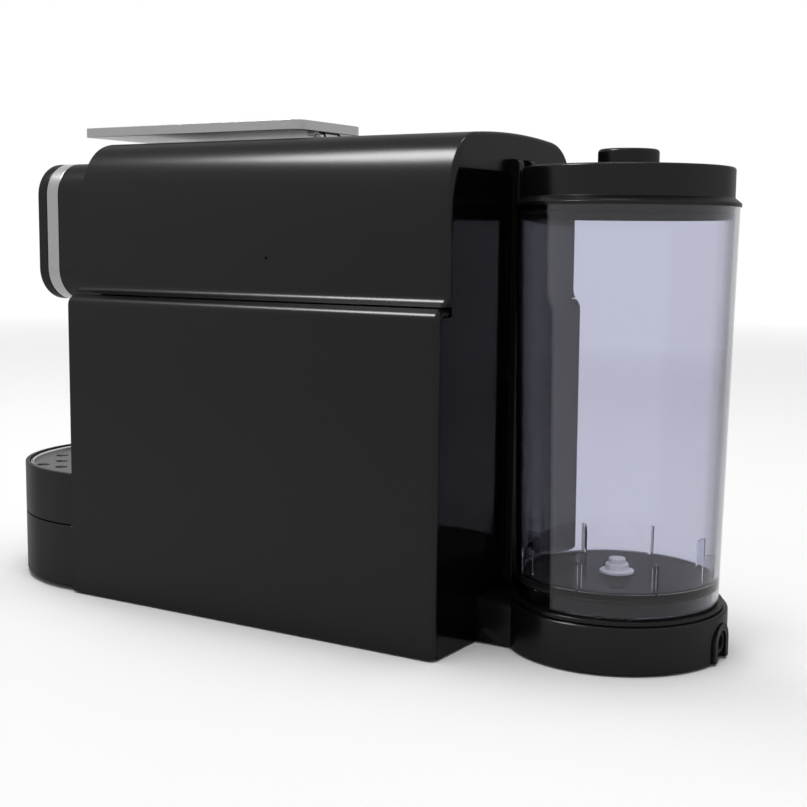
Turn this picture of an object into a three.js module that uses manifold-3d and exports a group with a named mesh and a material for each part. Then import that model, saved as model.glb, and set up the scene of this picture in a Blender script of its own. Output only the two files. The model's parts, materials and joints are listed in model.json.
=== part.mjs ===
// Pod coffee machine with a round rear water tank, a flat top lever and a round drip tray.
// Millimetres. X runs across, Y from the front (-) to the tank at the rear (+), Z up.
// Sections are drawn with Y = 0 on the rear plane of the body; the last lines move the whole
// machine so that the origin is at the middle of its underside.

import * as THREE from "three";
import { mergeVertices } from "three/addons/utils/BufferGeometryUtils.js";
import Module from "manifold-3d";

const wasm = await Module();
wasm.setup();

// ---------------------------------------------------------------- driving sizes
const gap = 0.3;                  // clearance between pieces that touch
const shellWall = 2.8;            // body shells
const panelWall = 2.4;            // front and rear panels
const wall = 2.4;                 // head and tray mouldings
const floorLift = 1;              // shells stand this far off the table, on the feet

const bodyLength = 224;
const bodyHalfWidth = 74.4;       // lower shells
const coverStep = 9.3;            // the upper cover is this much narrower on each side
const coverHalfWidth = bodyHalfWidth - coverStep;
const bodyTop = 240;
const coverDepth = 81.1;
const partingZ = bodyTop - coverDepth;   // seam between cover and lower shells
const shoulderDrop = 20.5;        // crown to the end of the tight shoulder curve
const seam = 0.8;
const flareRadius = 14.7;         // hollow flare at the foot of the cover
const rearFillet = 2.4;
const frontFillet = 1;
const bandHeight = 18.5;          // rear wall of the cover above the rear panel

const headHalfWidth = coverHalfWidth - 9.4;
const headBottom = partingZ - 3.9;
const headTop = bodyTop - 11.5;
const headCorner = 17.3;
const headBodyDepth = 24.4;
const headBandDepth = 8.6;
const headCapDepth = 7.3;

const leverHalfWidth = 28.7;
const leverLength = 144.4;
const leverThickness = 4.6;
const leverLift = 4;              // gap between cover and lever
const leverRear = -108.4;
const leverCorner = 5;

const gearModule = 1;
const sectorTeeth = 42;           // of a full wheel
const idlerTeeth = 18;
const gearWidth = 6;
const pressureAngle = 20 * Math.PI / 180;
const backlash = 0.3;
const flankSteps = 2;
const leverOpenDegrees = 62;

const brewAxisZ = bodyTop - 50;
const brewFront = -204.5;
const chamberRadius = 22;
const podRadius = 17.5;
const podDepth = 30;

const tankAxisY = 56;
const plinthRadius = 51.6;
const plinthTop = 22.2;
const seatRadius = 49.4;
const tankFootRadius = 47.2;
const tankRimRadius = 50.4;
const tankBottom = 25;
const tankFloorTop = 34.6;
const tankRim = 205.9;
const tankWall = 2;
const lidHeight = 18.1;
const tankRibs = 8;
const tankRibHeight = 14.2;
const tankRibDepth = 4.2;
const ribInset = 4;               // guide ribs on the rear face, from the middle plane
const ribThickness = 5.1;
const ribDepth = 5;
const ribCorner = 2.8;
const ribRim = 1.5;
const ribWindowDepth = 2.5;
const neckCorner = 4;
const lidRadius = 48;
const lidTop = tankRim + lidHeight;
const knobRadius = 13.9;
const knobHeight = 6.8;
const neckHalfWidth = 35.3;
const cordArchHalfWidth = 5.4;
const cordArchTop = 14.6;
const cordArchRim = 3.4;
const cordArchProud = 0.6;

const trayRadius = 72.4;
const trayAxisY = -231.6;
const trayTop = 63.8;
const traySplit = 35.8;
const trayLift = 2.3;
const gridDrop = 2.2;
const gridThickness = 1.6;
const gridHoleRadius = 3.1;
const gridPitch = 14.2;
const gridFirstRow = 53;          // front row of holes, in front of the tray axis
const binHalfWidth = 42;
const binLength = 86;

// ---------------------------------------------------------------- places that follow
const bodyFront = -bodyLength;
const innerCoverX = coverHalfWidth - shellWall;
const innerShellX = bodyHalfWidth - shellWall;
const deckTop = partingZ - 3.1;
const deckThickness = 2.8;
const deckBottom = deckTop - deckThickness;
const chassisTop = floorLift + 2.5;
const leverBottom = bodyTop + leverLift;
const pivotY = leverRear - leverThickness / 2;
const pivotZ = bodyTop + 1.2;
const sectorRadius = gearModule * sectorTeeth / 2;
const idlerRadius = gearModule * idlerTeeth / 2;
const idlerZ = pivotZ - sectorRadius - idlerRadius;
const rackZ = idlerZ - idlerRadius;
const chamberTravel = sectorRadius * leverOpenDegrees * Math.PI / 180;
const coverInside = bodyTop - shellWall;
const trayFront = trayAxisY - trayRadius;
const machineRear = tankAxisY + plinthRadius + cordArchProud;

// ---------------------------------------------------------------- finishes
function finish(color, roughness, metalness = 0, opacity = 1) {
  const transparent = opacity < 1;
  return new THREE.MeshStandardMaterial({ color, roughness, metalness, opacity, transparent });
}
const satinBlack = finish(0x1b1b1c, 0.42);
const glossBlack = finish(0x0a0a0b, 0.08);
const silver = finish(0xc4c4c4, 0.25, 1);
const leverMetal = finish(0x8a8a8a, 0.38, 1);
const clearPlastic = finish(0xc9cbe6, 0.06, 0, 0.3);
const gridSteel = finish(0x8f8f8f, 0.3, 1);
const whitePlastic = finish(0xe9e9e9, 0.4);
const greyPlastic = finish(0x8f9092, 0.45);
const innerPlastic = finish(0x3a3b3d, 0.6);
const steel = finish(0xa9abad, 0.35, 1);
const rubber = finish(0x151515, 0.85);
const castMetal = finish(0x9a9c9e, 0.5, 1);
const boardGreen = finish(0x1d5a35, 0.55);
const siliconeTube = finish(0xd8d8d2, 0.5);

// ---------------------------------------------------------------- solids from three.js geometry
function toSolid(geometry) {
  const bare = geometry.index ? geometry.toNonIndexed() : geometry.clone();
  bare.deleteAttribute("normal");
  bare.deleteAttribute("uv");
  const merged = mergeVertices(bare, 1e-4);
  const index = merged.index.array;
  const triangles = [];
  for (let i = 0; i < index.length; i += 3) {
    const [a, b, c] = index.slice(i, i + 3);
    if (a !== b && b !== c && a !== c) triangles.push(a, b, c);
  }
  const place = merged.attributes.position;
  const corner = (i) => new THREE.Vector3().fromBufferAttribute(place, i);
  let volume = 0;
  for (let i = 0; i < triangles.length; i += 3) {
    const [a, b, c] = triangles.slice(i, i + 3).map(corner);
    volume += a.dot(b.cross(c));
  }
  if (volume < 0) triangles.reverse();
  return new wasm.Manifold(new wasm.Mesh({
    numProp: 3,
    vertProperties: new Float32Array(place.array),
    triVerts: new Uint32Array(triangles),
  }));
}

function toGeometry(solid) {
  const { vertProperties, triVerts } = solid.getMesh();
  const geometry = new THREE.BufferGeometry();
  geometry.setAttribute("position", new THREE.BufferAttribute(vertProperties, 3));
  geometry.setIndex(new THREE.BufferAttribute(triVerts, 1));
  return geometry.toNonIndexed();
}

const X = new THREE.Vector3(1, 0, 0);
const Y = new THREE.Vector3(0, 1, 0);
const Z = new THREE.Vector3(0, 0, 1);
const layout = {
  x: new THREE.Matrix4().makeBasis(Y, Z, X),                    // outline in (Y, Z), pushed along X
  y: new THREE.Matrix4().makeBasis(X, Z, Y.clone().negate()),   // outline in (X, Z), pushed along -Y
  z: new THREE.Matrix4(),                                       // outline in (X, Y), pushed along Z
};

function closedOutline(outline, curveSegments) {
  const points = outline.getPoints(curveSegments);
  if (points[0].distanceTo(points.at(-1)) < 1e-6) points.pop();
  return new THREE.Shape(points);
}

// Pushes an outline from one coordinate to another; a bevel rounds the edges of both ends.
function extruded(outline, axis, from, to, bevel = 0, curveSegments = 4) {
  const geometry = new THREE.ExtrudeGeometry(closedOutline(outline, curveSegments), {
    depth: to - from - 2 * bevel,
    bevelEnabled: bevel > 0,
    bevelThickness: bevel,
    bevelSize: bevel,
    bevelOffset: -bevel,
    bevelSegments: bevel < 1.5 ? 1 : 2,
  });
  geometry.translate(0, 0, bevel);
  geometry.applyMatrix4(layout[axis]);
  const start = { x: [from, 0, 0], y: [0, to, 0], z: [0, 0, from] }[axis];
  return geometry.translate(...start);
}

function extrude(...options) {
  return toSolid(extruded(...options));
}

// A round bar along an axis; bars and bores get the same number of sides, so that they nest.
function rod(axis, across, up, radius, from, to, bevel = 0, sides = 16) {
  return extrude(circle(across, up, radius), axis, from, to, bevel, sides / 2);
}

function polygon(points) {
  return new THREE.Shape(points.map(([x, y]) => new THREE.Vector2(x, y)));
}

function circle(x, y, radius) {
  return new THREE.Shape().absarc(x, y, radius, 0, 2 * Math.PI);
}

function roundedRectangle(left, bottom, right, top, radius) {
  return new THREE.Shape()
    .moveTo(left + radius, bottom)
    .lineTo(right - radius, bottom)
    .absarc(right - radius, bottom + radius, radius, -Math.PI / 2, 0)
    .absarc(right - radius, top - radius, radius, 0, Math.PI / 2)
    .absarc(left + radius, top - radius, radius, Math.PI / 2, Math.PI)
    .absarc(left + radius, bottom + radius, radius, Math.PI, 1.5 * Math.PI);
}

function box(x0, x1, y0, y1, z0, z1) {
  const geometry = new THREE.BoxGeometry(x1 - x0, y1 - y0, z1 - z0);
  return toSolid(geometry.translate((x0 + x1) / 2, (y0 + y1) / 2, (z0 + z1) / 2));
}

// Turns a profile of [radius, height] pairs round an upright axis.
function turn(profile, x, y, segments = 32) {
  const geometry = new THREE.LatheGeometry(profile.map(([r, h]) => new THREE.Vector2(r, h)), segments);
  return toSolid(geometry.rotateX(Math.PI / 2).translate(x, y, 0));
}

// A closed ring profile is drawn once and closed on its first point.
function turnRing(profile, x, y, segments = 32) {
  return turn([...profile, profile[0]], x, y, segments);
}

function tube(points, radius, steps = 24, sides = 4) {
  const stations = points.map((p) => new THREE.Vector3(...p));
  const path = new THREE.CatmullRomCurve3(stations, false, "catmullrom", 0.3);
  const section = circle(0, 0, radius);
  return toSolid(new THREE.ExtrudeGeometry(section, { steps, curveSegments: sides, extrudePath: path }));
}

const join = (...solids) => solids.reduce((whole, solid) => whole.add(solid));
const cut = (solid, ...tools) => tools.reduce((whole, tool) => whole.subtract(tool), solid);
const mirrored = (solid) => toSolid(toGeometry(solid).scale(-1, 1, 1));

// ---------------------------------------------------------------- collecting the pieces
const machine = new THREE.Group();
function add(name, solid, material) {
  const mesh = new THREE.Mesh(toGeometry(solid), material);
  mesh.name = name;
  machine.add(mesh);
  return mesh;
}

// ---------------------------------------------------------------- section of the body
const flareAngle = 52 * Math.PI / 180;
const flareWidth = flareRadius * (1 - Math.cos(flareAngle));
const flareHeight = flareRadius * Math.sin(flareAngle);
const shoulderRadius = (bodyHalfWidth - coverHalfWidth - flareWidth) / (1 - Math.cos(flareAngle));
const shoulderBase = partingZ - shoulderRadius * Math.sin(flareAngle);
const skirt = 6;

// Upper section: crowned top, tight shoulders, upright sides. `inset` draws the inside of the wall.
function addCoverTop(outline, inset) {
  const side = coverHalfWidth - inset;
  const crown = bodyTop - inset;
  const shoulderZ = bodyTop - shoulderDrop - inset * 0.3;
  const curve = {
    flatX: side - 27.1 + inset * 0.9,
    flatZ: crown - 1.6,
    highX: side - 15.1 + inset * 0.6,
    highZ: crown - 2.4,
    lowX: side - 7.6 + inset * 0.2,
    lowZ: crown - 9,
    endX: side - 3.9,
    endZ: shoulderZ,
    straightZ: bodyTop - 50,
  };
  return outline
    .lineTo(side, curve.straightZ)
    .quadraticCurveTo(side, bodyTop - 32.6, curve.endX, curve.endZ)
    .bezierCurveTo(curve.lowX, curve.lowZ, curve.highX, curve.highZ, curve.flatX, curve.flatZ)
    .quadraticCurveTo(0, crown + 1.6, -curve.flatX, curve.flatZ)
    .bezierCurveTo(-curve.highX, curve.highZ, -curve.lowX, curve.lowZ, -curve.endX, curve.endZ)
    .quadraticCurveTo(-side, bodyTop - 32.6, -side, curve.straightZ);
}

// The cover with its foot drawn on past the seam, so that the seam can be cut through it.
function coverOutline() {
  const flareTop = partingZ + flareHeight;
  const hollowX = coverHalfWidth + flareRadius;
  const skirtX = coverHalfWidth + flareWidth + skirt * Math.sin(flareAngle);
  const skirtZ = partingZ - skirt * Math.cos(flareAngle);
  const outline = new THREE.Shape()
    .moveTo(-skirtX, skirtZ - skirt)
    .lineTo(skirtX, skirtZ - skirt)
    .lineTo(skirtX, skirtZ)
    .absarc(hollowX, flareTop, flareRadius, Math.PI + flareAngle, Math.PI, true);
  addCoverTop(outline, 0);
  return outline.absarc(-hollowX, flareTop, flareRadius, 0, -flareAngle, true).lineTo(-skirtX, skirtZ);
}

// Straight-sided section inside the cover, down to `low`.
function coverSection(inset, low) {
  const side = coverHalfWidth - inset;
  return addCoverTop(new THREE.Shape().moveTo(-side, low).lineTo(side, low), inset);
}

// Lower section of the body across both side shells, up to `high`.
function shellSection(inset, low, high) {
  const side = bodyHalfWidth - inset;
  const radius = shoulderRadius - inset;
  const centreX = bodyHalfWidth - shoulderRadius;
  const end = Math.asin(Math.min(1, (high - shoulderBase) / radius));
  return new THREE.Shape()
    .moveTo(-side, low)
    .lineTo(side, low)
    .absarc(centreX, shoulderBase, radius, 0, end)
    .absarc(-centreX, shoulderBase, radius, Math.PI - end, Math.PI);
}

// Rounds the rear and the front edges of a long shell by different amounts.
function roundedLength(outline, arcSteps) {
  const spare = 20;
  const rear = extrude(outline, "y", bodyFront - spare, 0, rearFillet, arcSteps);
  const front = extrude(outline, "y", bodyFront, spare, frontFillet, arcSteps);
  return rear.intersect(front);
}

const podSlotHalf = podRadius + 3;
const hubHalf = 5.5;
const cheekOuter = 9.5;
const hingeSlotHalf = cheekOuter + 1.5;
const pinholeY = -101;

function upperCover() {
  const bandBottom = bodyTop - bandHeight;
  const low = partingZ - 20;
  const span = 2 * bodyHalfWidth;
  const belowSeam = box(-span, span, bodyFront - 30, 30, 0, partingZ + seam / 2);
  const cavity = extrude(coverSection(shellWall, low), "y", bodyFront + shellWall, -shellWall);
  const rearOpening = extrude(coverSection(shellWall, low), "y", -shellWall - 1, 1)
    .subtract(box(-span, span, -2 * shellWall, 2, bandBottom, bodyTop));
  const passageHalf = headHalfWidth - 7.7;
  const passage = roundedRectangle(-passageHalf, headBottom + 10, passageHalf, headTop - 7.5, 12);
  const headPassage = extrude(passage, "y", bodyFront - 1, bodyFront + shellWall + 1);
  const slotRear = brewFront + chamberTravel - 0.5;
  const slotOutline = roundedRectangle(-podSlotHalf, brewFront - 0.5, podSlotHalf, slotRear, 3);
  const podSlot = extrude(slotOutline, "z", coverInside - 4, bodyTop + 1);
  const hinge = [pivotY - 4.4, pivotY + 4.4, coverInside - 4, bodyTop + 1];
  const hingeSlot = box(-hingeSlotHalf, hingeSlotHalf, ...hinge);
  const sectorHalf = gearWidth / 2 + 1;
  const sectorSlot = box(-sectorHalf, sectorHalf, pivotY - 15.5, ...hinge.slice(1));
  const pinhole = rod("x", pinholeY, bodyTop - 60, 0.7, innerCoverX - 2, coverHalfWidth + 1);
  const slots = [headPassage, podSlot, hingeSlot, sectorSlot, pinhole];
  return cut(roundedLength(coverOutline(), 5), belowSeam, cavity, rearOpening, ...slots);
}

// Lower shell on the +X side: upright wall, rounded shoulder, wrapped front edge.
function sideShell() {
  const top = partingZ - seam / 2;
  const hollow = shellSection(shellWall, floorLift - 5, top - shellWall);
  const cavity = extrude(hollow, "y", bodyFront + shellWall, 1);
  const inside = box(-2 * bodyHalfWidth, coverHalfWidth, bodyFront - 1, 1, 0, bodyTop);
  return cut(roundedLength(shellSection(0, floorLift, top), 3), cavity, inside);
}

function frontPanel() {
  const half = coverHalfWidth - gap;
  return box(-half, half, bodyFront, bodyFront + panelWall, trayTop + 2.2, partingZ - 0.7);
}

// Closes the rear inside the rims of the shells and the cover, and leaves a way out for the neck.
function rearPanel() {
  const inset = shellWall + gap;
  const shellTop = partingZ - seam / 2 - inset;
  const bandBottom = bodyTop - bandHeight - gap;
  const upper = extrude(coverSection(inset, shellTop - 5), "y", -panelWall, 0);
  const lower = extrude(shellSection(inset, floorLift, shellTop), "y", -panelWall, 0);
  const span = 2 * bodyHalfWidth;
  const band = box(-span, span, -2 * panelWall, 1, bandBottom, bodyTop);
  const neckHalf = neckHalfWidth + gap;
  const neckOutline = roundedRectangle(-neckHalf, -neckHalf, neckHalf, plinthTop + gap, neckCorner);
  const neckWay = extrude(neckOutline, "y", -3 * panelWall, 1);
  return cut(join(upper, lower), band, neckWay);
}

// Upright guide rib on the rear face, with two long windows sunk in its outer side.
function guideRib() {
  const inner = ribInset;
  const outer = ribInset + ribThickness;
  const bottom = plinthTop + 1.3;
  const top = bodyTop - 12.4;
  const rear = gap + ribDepth;
  const side = new THREE.Shape()
    .moveTo(gap, bottom)
    .lineTo(rear, bottom)
    .absarc(rear - ribCorner, top - ribCorner, ribCorner, 0, Math.PI / 2)
    .lineTo(gap, top);
  const windowTop = top - 8.2;
  const windowBottom = bottom + 9.6;
  const middle = (windowTop + windowBottom) / 2;
  const windows = [[windowBottom, middle - 3.6], [middle + 3.6, windowTop]].map(([low, high]) =>
    box(outer - ribWindowDepth, outer + 1, gap - 1, rear - ribRim, low, high));
  return cut(extrude(side, "x", inner, outer), ...windows);
}

// ---------------------------------------------------------------- chassis, neck and plinth
const postX = innerShellX - 13.6;
const postHalf = 4;
const postRows = [-30, -150];
const tankPortY = tankAxisY - 14;
const footRadius = 7;
const footHeight = 2.2;
const footRearY = -25;
const footFrontY = bodyFront + 26;
const footPlaces = [
  [-postX, footRearY], [postX, footRearY], [-postX, footFrontY], [postX, footFrontY], [0, tankAxisY + 30],
];

function chassis() {
  const half = innerShellX - gap;
  const rearWallY = -panelWall - gap;
  const floor = box(-half, half, bodyFront + shellWall + gap, rearWallY, floorLift, chassisTop);
  const posts = postRows.flatMap((y) => [-postX, postX].map((x) =>
    box(x - postHalf, x + postHalf, y - postHalf, y + postHalf, floorLift, deckBottom - gap)));
  const side = neckHalfWidth;
  const neckOutline = roundedRectangle(-side, -side, side, plinthTop, neckCorner);
  const neck = extrude(neckOutline, "y", rearWallY - 3, tankAxisY - 30)
    .subtract(box(-2 * side, 2 * side, -50, 50, -50, floorLift));
  const neckHollow = box(-side + 3, side - 3, rearWallY - 4, tankAxisY - 20, 0, plinthTop - 3);
  const plinth = rod("z", 0, tankAxisY, plinthRadius, floorLift, plinthTop, 1.2, 40);
  const plinthHollow = rod("z", 0, tankAxisY, plinthRadius - 3, 0, plinthTop - 3, 0, 32);
  const hosePort = rod("z", 0, tankPortY, 4, 0, plinthTop + 1);
  const rearFoot = rod("z", 0, tankAxisY + 30, footRadius + 2, floorLift, plinthTop - 1);
  const footPockets = footPlaces.map(([x, y]) =>
    rod("z", x, y, footRadius + gap, 0, footHeight + gap));
  const archOutline = (span, top, low) => new THREE.Shape()
    .moveTo(-span, low)
    .lineTo(span, low)
    .absarc(0, top - span, span, 0, Math.PI);
  const plinthRear = tankAxisY + plinthRadius;
  const rimOutline = archOutline(cordArchHalfWidth + cordArchRim, cordArchTop + cordArchRim, floorLift);
  const archRim = extrude(rimOutline, "y", plinthRear - 4, machineRear);
  const holeOutline = archOutline(cordArchHalfWidth, cordArchTop, 0);
  const archHole = extrude(holeOutline, "y", plinthRear - 8, machineRear + 1);
  const hollow = cut(join(neckHollow, plinthHollow), rearFoot);
  return cut(join(floor, ...posts, neck, plinth, archRim), hollow, hosePort, archHole, ...footPockets);
}

function deck() {
  const half = innerCoverX - gap;
  const plate = box(-half, half, bodyFront + shellWall + 2.6, -panelWall - gap, deckBottom, deckTop);
  const podHole = box(-chuteHalf, chuteHalf, chuteFront, chuteRear, deckBottom - 1, deckTop + 1);
  const tubeHole = rod("z", 0, waterTubeY, 6, deckBottom - 1, deckTop + 1);
  return cut(plate, podHole, tubeHole);
}

function tankSeat() {
  const base = plinthTop + gap;
  const disc = turn([
    [0, base], [seatRadius, base], [seatRadius, base + 1.4], [seatRadius - 0.4, base + 1.8],
    [tankFootRadius - 0.5, base + 1.8], [tankFootRadius - 0.5, tankBottom - gap],
    [tankFootRadius - 5, tankBottom - gap], [tankFootRadius - 5, base + 1.8],
    [10, base + 1.8], [10, 30], [7, 30], [7, base + 2.4], [1.4, base + 2.4], [1.4, 28.5], [0, 28.5],
  ], 0, tankAxisY, 32);
  const outlet = rod("z", 0, tankPortY, 2, base - 1, base + 5);
  const channel = box(-2, 2, tankPortY, tankAxisY - 4, base + 0.9, base + 5);
  return cut(disc, outlet, channel);
}

// ---------------------------------------------------------------- head
const headBandFront = bodyFront - headBodyDepth - headBandDepth;
const headFront = headBandFront - headCapDepth;
const spoutY = bodyFront - 15.5;

function headOutline(inset) {
  return roundedRectangle(
    -headHalfWidth + inset, headBottom + inset, headHalfWidth - inset, headTop - inset, headCorner - inset);
}

function headBody() {
  const rear = bodyFront - gap;
  const front = bodyFront - headBodyDepth + gap;
  const spoutHole = rod("z", 0, spoutY, 7.8, headBottom - 1, headBottom + 5);
  const hollow = extrude(headOutline(wall), "y", front - 1, rear + 1);
  return cut(extrude(headOutline(0), "y", front, rear), hollow, spoutHole);
}

const bandWall = 4;

function headBand() {
  const front = headBandFront + gap;
  const rear = bodyFront - headBodyDepth;
  const hollow = extrude(headOutline(bandWall), "y", front - 1, rear + 1);
  return cut(extrude(headOutline(0), "y", front, rear), hollow);
}

const buttonX = 14;
const buttonZ = headTop - 25.5;
const buttonRadius = 8;
const buttonTravel = 1.5;

function headCap() {
  const shell = extrude(headOutline(0), "y", headFront, headBandFront + 5, 2)
    .subtract(box(-80, 80, headBandFront, 0, 0, 300));
  const hollow = extrude(headOutline(wall), "y", headFront + wall, headBandFront + 1);
  const holes = [-buttonX, buttonX].map((x) =>
    rod("y", x, buttonZ, buttonRadius + gap, headFront - 1, headBandFront, 0, 24));
  const posts = [-1, 1].flatMap((side) => [buttonZ - 13, buttonZ + 13].map((z) =>
    rod("y", side * (boardHalf - 4), z, 2.5, headFront + 1, boardFront - gap, 0, 8)));
  return join(cut(shell, hollow, ...holes), ...posts);
}

const boardFront = headBandFront - 0.4;
const boardHalf = 31;
const boardThickness = 1.6;

function buttonBoard() {
  return box(-boardHalf, boardHalf, boardFront, boardFront + boardThickness, buttonZ - 17, buttonZ + 17);
}

function button(x) {
  const face = rod("y", x, buttonZ, buttonRadius, headFront - 0.6, headFront + wall + 0.8, 0.5, 24);
  const rear = headFront + wall;
  const flange = rod("y", x, buttonZ, buttonRadius + 1.4, rear + gap, rear + 1.3, 0, 24);
  return join(face, flange);
}

// ---------------------------------------------------------------- lever and its gears
const inv = (angle) => Math.tan(angle) - angle;

// One involute tooth of a wheel, drawn about (y, z) and pointing along `direction`.
function tooth(y, z, teeth, direction) {
  const pitch = gearModule * teeth / 2;
  const base = pitch * Math.cos(pressureAngle);
  const root = pitch - 1.2 * gearModule;
  const tip = pitch + gearModule;
  const halfAtPitch = Math.PI / (2 * teeth) - backlash / (4 * pitch);
  const flank = [];
  const start = Math.max(root, base);
  for (let i = 0; i <= flankSteps; i += 1) {
    const radius = start + (tip - start) * i / flankSteps;
    flank.push([radius, halfAtPitch + inv(pressureAngle) - inv(Math.acos(Math.min(1, base / radius)))]);
  }
  const foot = [root - 0.5, flank[0][1]];
  const right = [foot, ...flank];
  const left = right.map(([radius, half]) => [radius, -half]).reverse();
  return polygon([...right, ...left].map(([radius, half]) => [
    y + radius * Math.cos(direction - half),
    z + radius * Math.sin(direction - half),
  ]).reverse());
}

const down = -Math.PI / 2;
const sectorPitch = 2 * Math.PI / sectorTeeth;
const sectorTeethBack = Math.ceil(leverOpenDegrees * Math.PI / 180 / sectorPitch) + 1;

const pinRadius = 1.2;

function leverHub() {
  const half = gearWidth / 2;
  const root = sectorRadius - 1.2 * gearModule;
  const padTop = leverBottom - gap;
  const sleeve = rod("x", pivotY, pivotZ, 3, -hubHalf, hubHalf);
  const pad = box(-hubHalf, hubHalf, pivotY - 9, pivotY + 1, pivotZ + 1, leverBottom + 2);
  const web = new THREE.Shape()
    .absarc(pivotY, pivotZ, root, down - 1.5 * sectorPitch, down + (sectorTeethBack + 0.5) * sectorPitch)
    .lineTo(pivotY, pivotZ);
  const teeth = [];
  for (let k = -1; k <= sectorTeethBack; k += 1) {
    teeth.push(extrude(tooth(pivotY, pivotZ, sectorTeeth, down + k * sectorPitch), "x", -half, half));
  }
  const sectorRear = pivotY + 2 * sectorRadius;
  const underCover = box(-half - 1, half + 1, pivotY + 3.6, sectorRear, coverInside - 0.9, bodyTop + 5);
  const sector = cut(join(extrude(web, "x", -half, half, 0, 12), ...teeth), underCover);
  const bore = rod("x", pivotY, pivotZ, pinRadius + gap, -20, 20);
  return cut(join(sleeve, pad, sector), bore, box(-20, 20, pivotY - 20, pivotY + 20, padTop, padTop + 10));
}

function leverPlate() {
  const front = leverRear - leverLength;
  const outline = roundedRectangle(-leverHalfWidth, front, leverHalfWidth, leverRear, leverCorner);
  return extrude(outline, "z", leverBottom, leverBottom + leverThickness, 0.8, 2);
}

const bracketOuter = 26;

// Cheek and foot of the hinge on the +X side, screwed under the cover's top.
function hingeBracket() {
  const footTop = coverInside - 0.9;
  const foot = box(hubHalf + 0.5, bracketOuter, pivotY - 12, pivotY + 12, footTop - 2.5, footTop);
  const cheek = extrude(new THREE.Shape()
    .moveTo(pivotY - 2.4, coverInside - 2)
    .lineTo(pivotY + 2.4, coverInside - 2)
    .absarc(pivotY, pivotZ, 2.4, 0, Math.PI), "x", hubHalf + 1, cheekOuter);
  return cut(join(foot, cheek), rod("x", pivotY, pivotZ, pinRadius + gap, hubHalf, bracketOuter));
}

function hingePin() {
  const half = cheekOuter - 0.4;
  return rod("x", pivotY, pivotZ, pinRadius, -half, half);
}

const axleRadius = 2;

function idlerGear() {
  const half = gearWidth / 2;
  const root = idlerRadius - 1.2 * gearModule;
  const pitch = 2 * Math.PI / idlerTeeth;
  const teeth = [];
  for (let k = 0; k < idlerTeeth; k += 1) {
    const direction = Math.PI / 2 + (k + 0.5) * pitch;
    teeth.push(extrude(tooth(pivotY, idlerZ, idlerTeeth, direction), "x", -half, half));
  }
  const wheel = rod("x", pivotY, idlerZ, root, -half, half, 0, 2 * idlerTeeth);
  const hub = rod("x", pivotY, idlerZ, 4.5, -half - 4, half + 4);
  return cut(join(wheel, hub, ...teeth), rod("x", pivotY, idlerZ, axleRadius + 0.25, -20, 20));
}

function idlerAxle() {
  return rod("x", pivotY, idlerZ, axleRadius, -frameHalf - 3.5, frameHalf + 3.5);
}

// ---------------------------------------------------------------- brew unit
const frameHalf = 27;
const frameWall = 2.5;
const waterTubeY = -58;
const chamberRear = brewFront + podDepth + 8;
const chuteHalf = podSlotHalf + 1;
const chuteFront = brewFront - 1.5;
const chuteRear = brewFront + chamberTravel + 2;

function brewFrame() {
  const rear = pivotY + 13;
  const front = brewFront - 9;
  const base = deckTop + gap;
  const side = polygon([
    [front, base], [rear, base], [rear, idlerZ + 7], [pivotY - 11, idlerZ + 7],
    [pivotY - 18, brewAxisZ + 16], [front, brewAxisZ + 16],
  ]);
  const wallPiece = (x) => extrude(side, "x", x, x + frameWall);
  const bottom = box(-frameHalf - frameWall, frameHalf + frameWall, front, rear, base, base + 2.5);
  const ledge = (sign) => {
    const edges = [sign * (frameHalf + 1), sign * (frameHalf - 4)].sort((a, b) => a - b);
    return box(...edges, front + 10, pivotY - 10, brewAxisZ - 7, brewAxisZ - 4 - gap);
  };
  const axleHole = rod("x", pivotY, idlerZ, axleRadius + gap, -40, 40);
  const podHole = box(-chuteHalf, chuteHalf, chuteFront, chuteRear, base - 1, base + 4);
  const walls = [wallPiece(-frameHalf - frameWall), wallPiece(frameHalf)];
  return cut(join(...walls, bottom, ledge(1), ledge(-1)), axleHole, podHole);
}

// Moving pod cage with its guide lugs, rear sleeve and rack.
function brewChamber() {
  const rackRoot = rackZ - 1.2 * gearModule;
  const half = gearWidth / 2;
  const cage = rod("y", 0, brewAxisZ, chamberRadius, brewFront, chamberRear, 0, 32);
  const sleeve = rod("y", 0, brewAxisZ, 9, chamberRear - 1, chamberRear + 16);
  const lugHalf = frameHalf - gap;
  const lugs = box(-lugHalf, lugHalf, brewFront + 14, brewFront + 34, brewAxisZ - 4, brewAxisZ + 4);
  const rackFront = pivotY - chamberTravel - 3;
  const rackRear = pivotY + 4;
  const carrier = box(-half, half, chamberRear - 1, rackRear, rackRoot - 4.5, rackRoot);
  const strut = box(-half, half, chamberRear - 1, chamberRear + 12, brewAxisZ, rackRoot - 4);
  const pitch = Math.PI * gearModule;
  const flank = Math.tan(pressureAngle);
  const teeth = [];
  for (let k = -Math.floor(chamberTravel / pitch) - 1; k <= 1; k += 1) {
    const y = pivotY + k * pitch;
    const halfAt = (height) => pitch / 4 - backlash / 4 - height * flank;
    const low = -1.2 * gearModule - 0.3;
    teeth.push(extrude(polygon([
      [y - halfAt(low), rackZ + low], [y + halfAt(low), rackZ + low],
      [y + halfAt(gearModule), rackZ + gearModule], [y - halfAt(gearModule), rackZ + gearModule],
    ]), "x", -half, half));
  }
  const pod = rod("y", 0, brewAxisZ, podRadius, brewFront - 1, brewFront + podDepth, 0, 32);
  const bore = rod("y", 0, brewAxisZ, 3.4, brewFront, chamberRear + 20);
  return cut(join(cage, sleeve, lugs, carrier, strut, ...teeth), pod, bore);
}

function brewPlate() {
  const rear = brewFront - 1;
  const plate = box(-frameHalf + gap, frameHalf - gap, rear - 6, rear, brewAxisZ - 24, brewAxisZ + 20);
  const boss = rod("y", 0, brewAxisZ, 16, rear - 6, rear + 0.5, 0, 24);
  return join(plate, boss);
}

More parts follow.
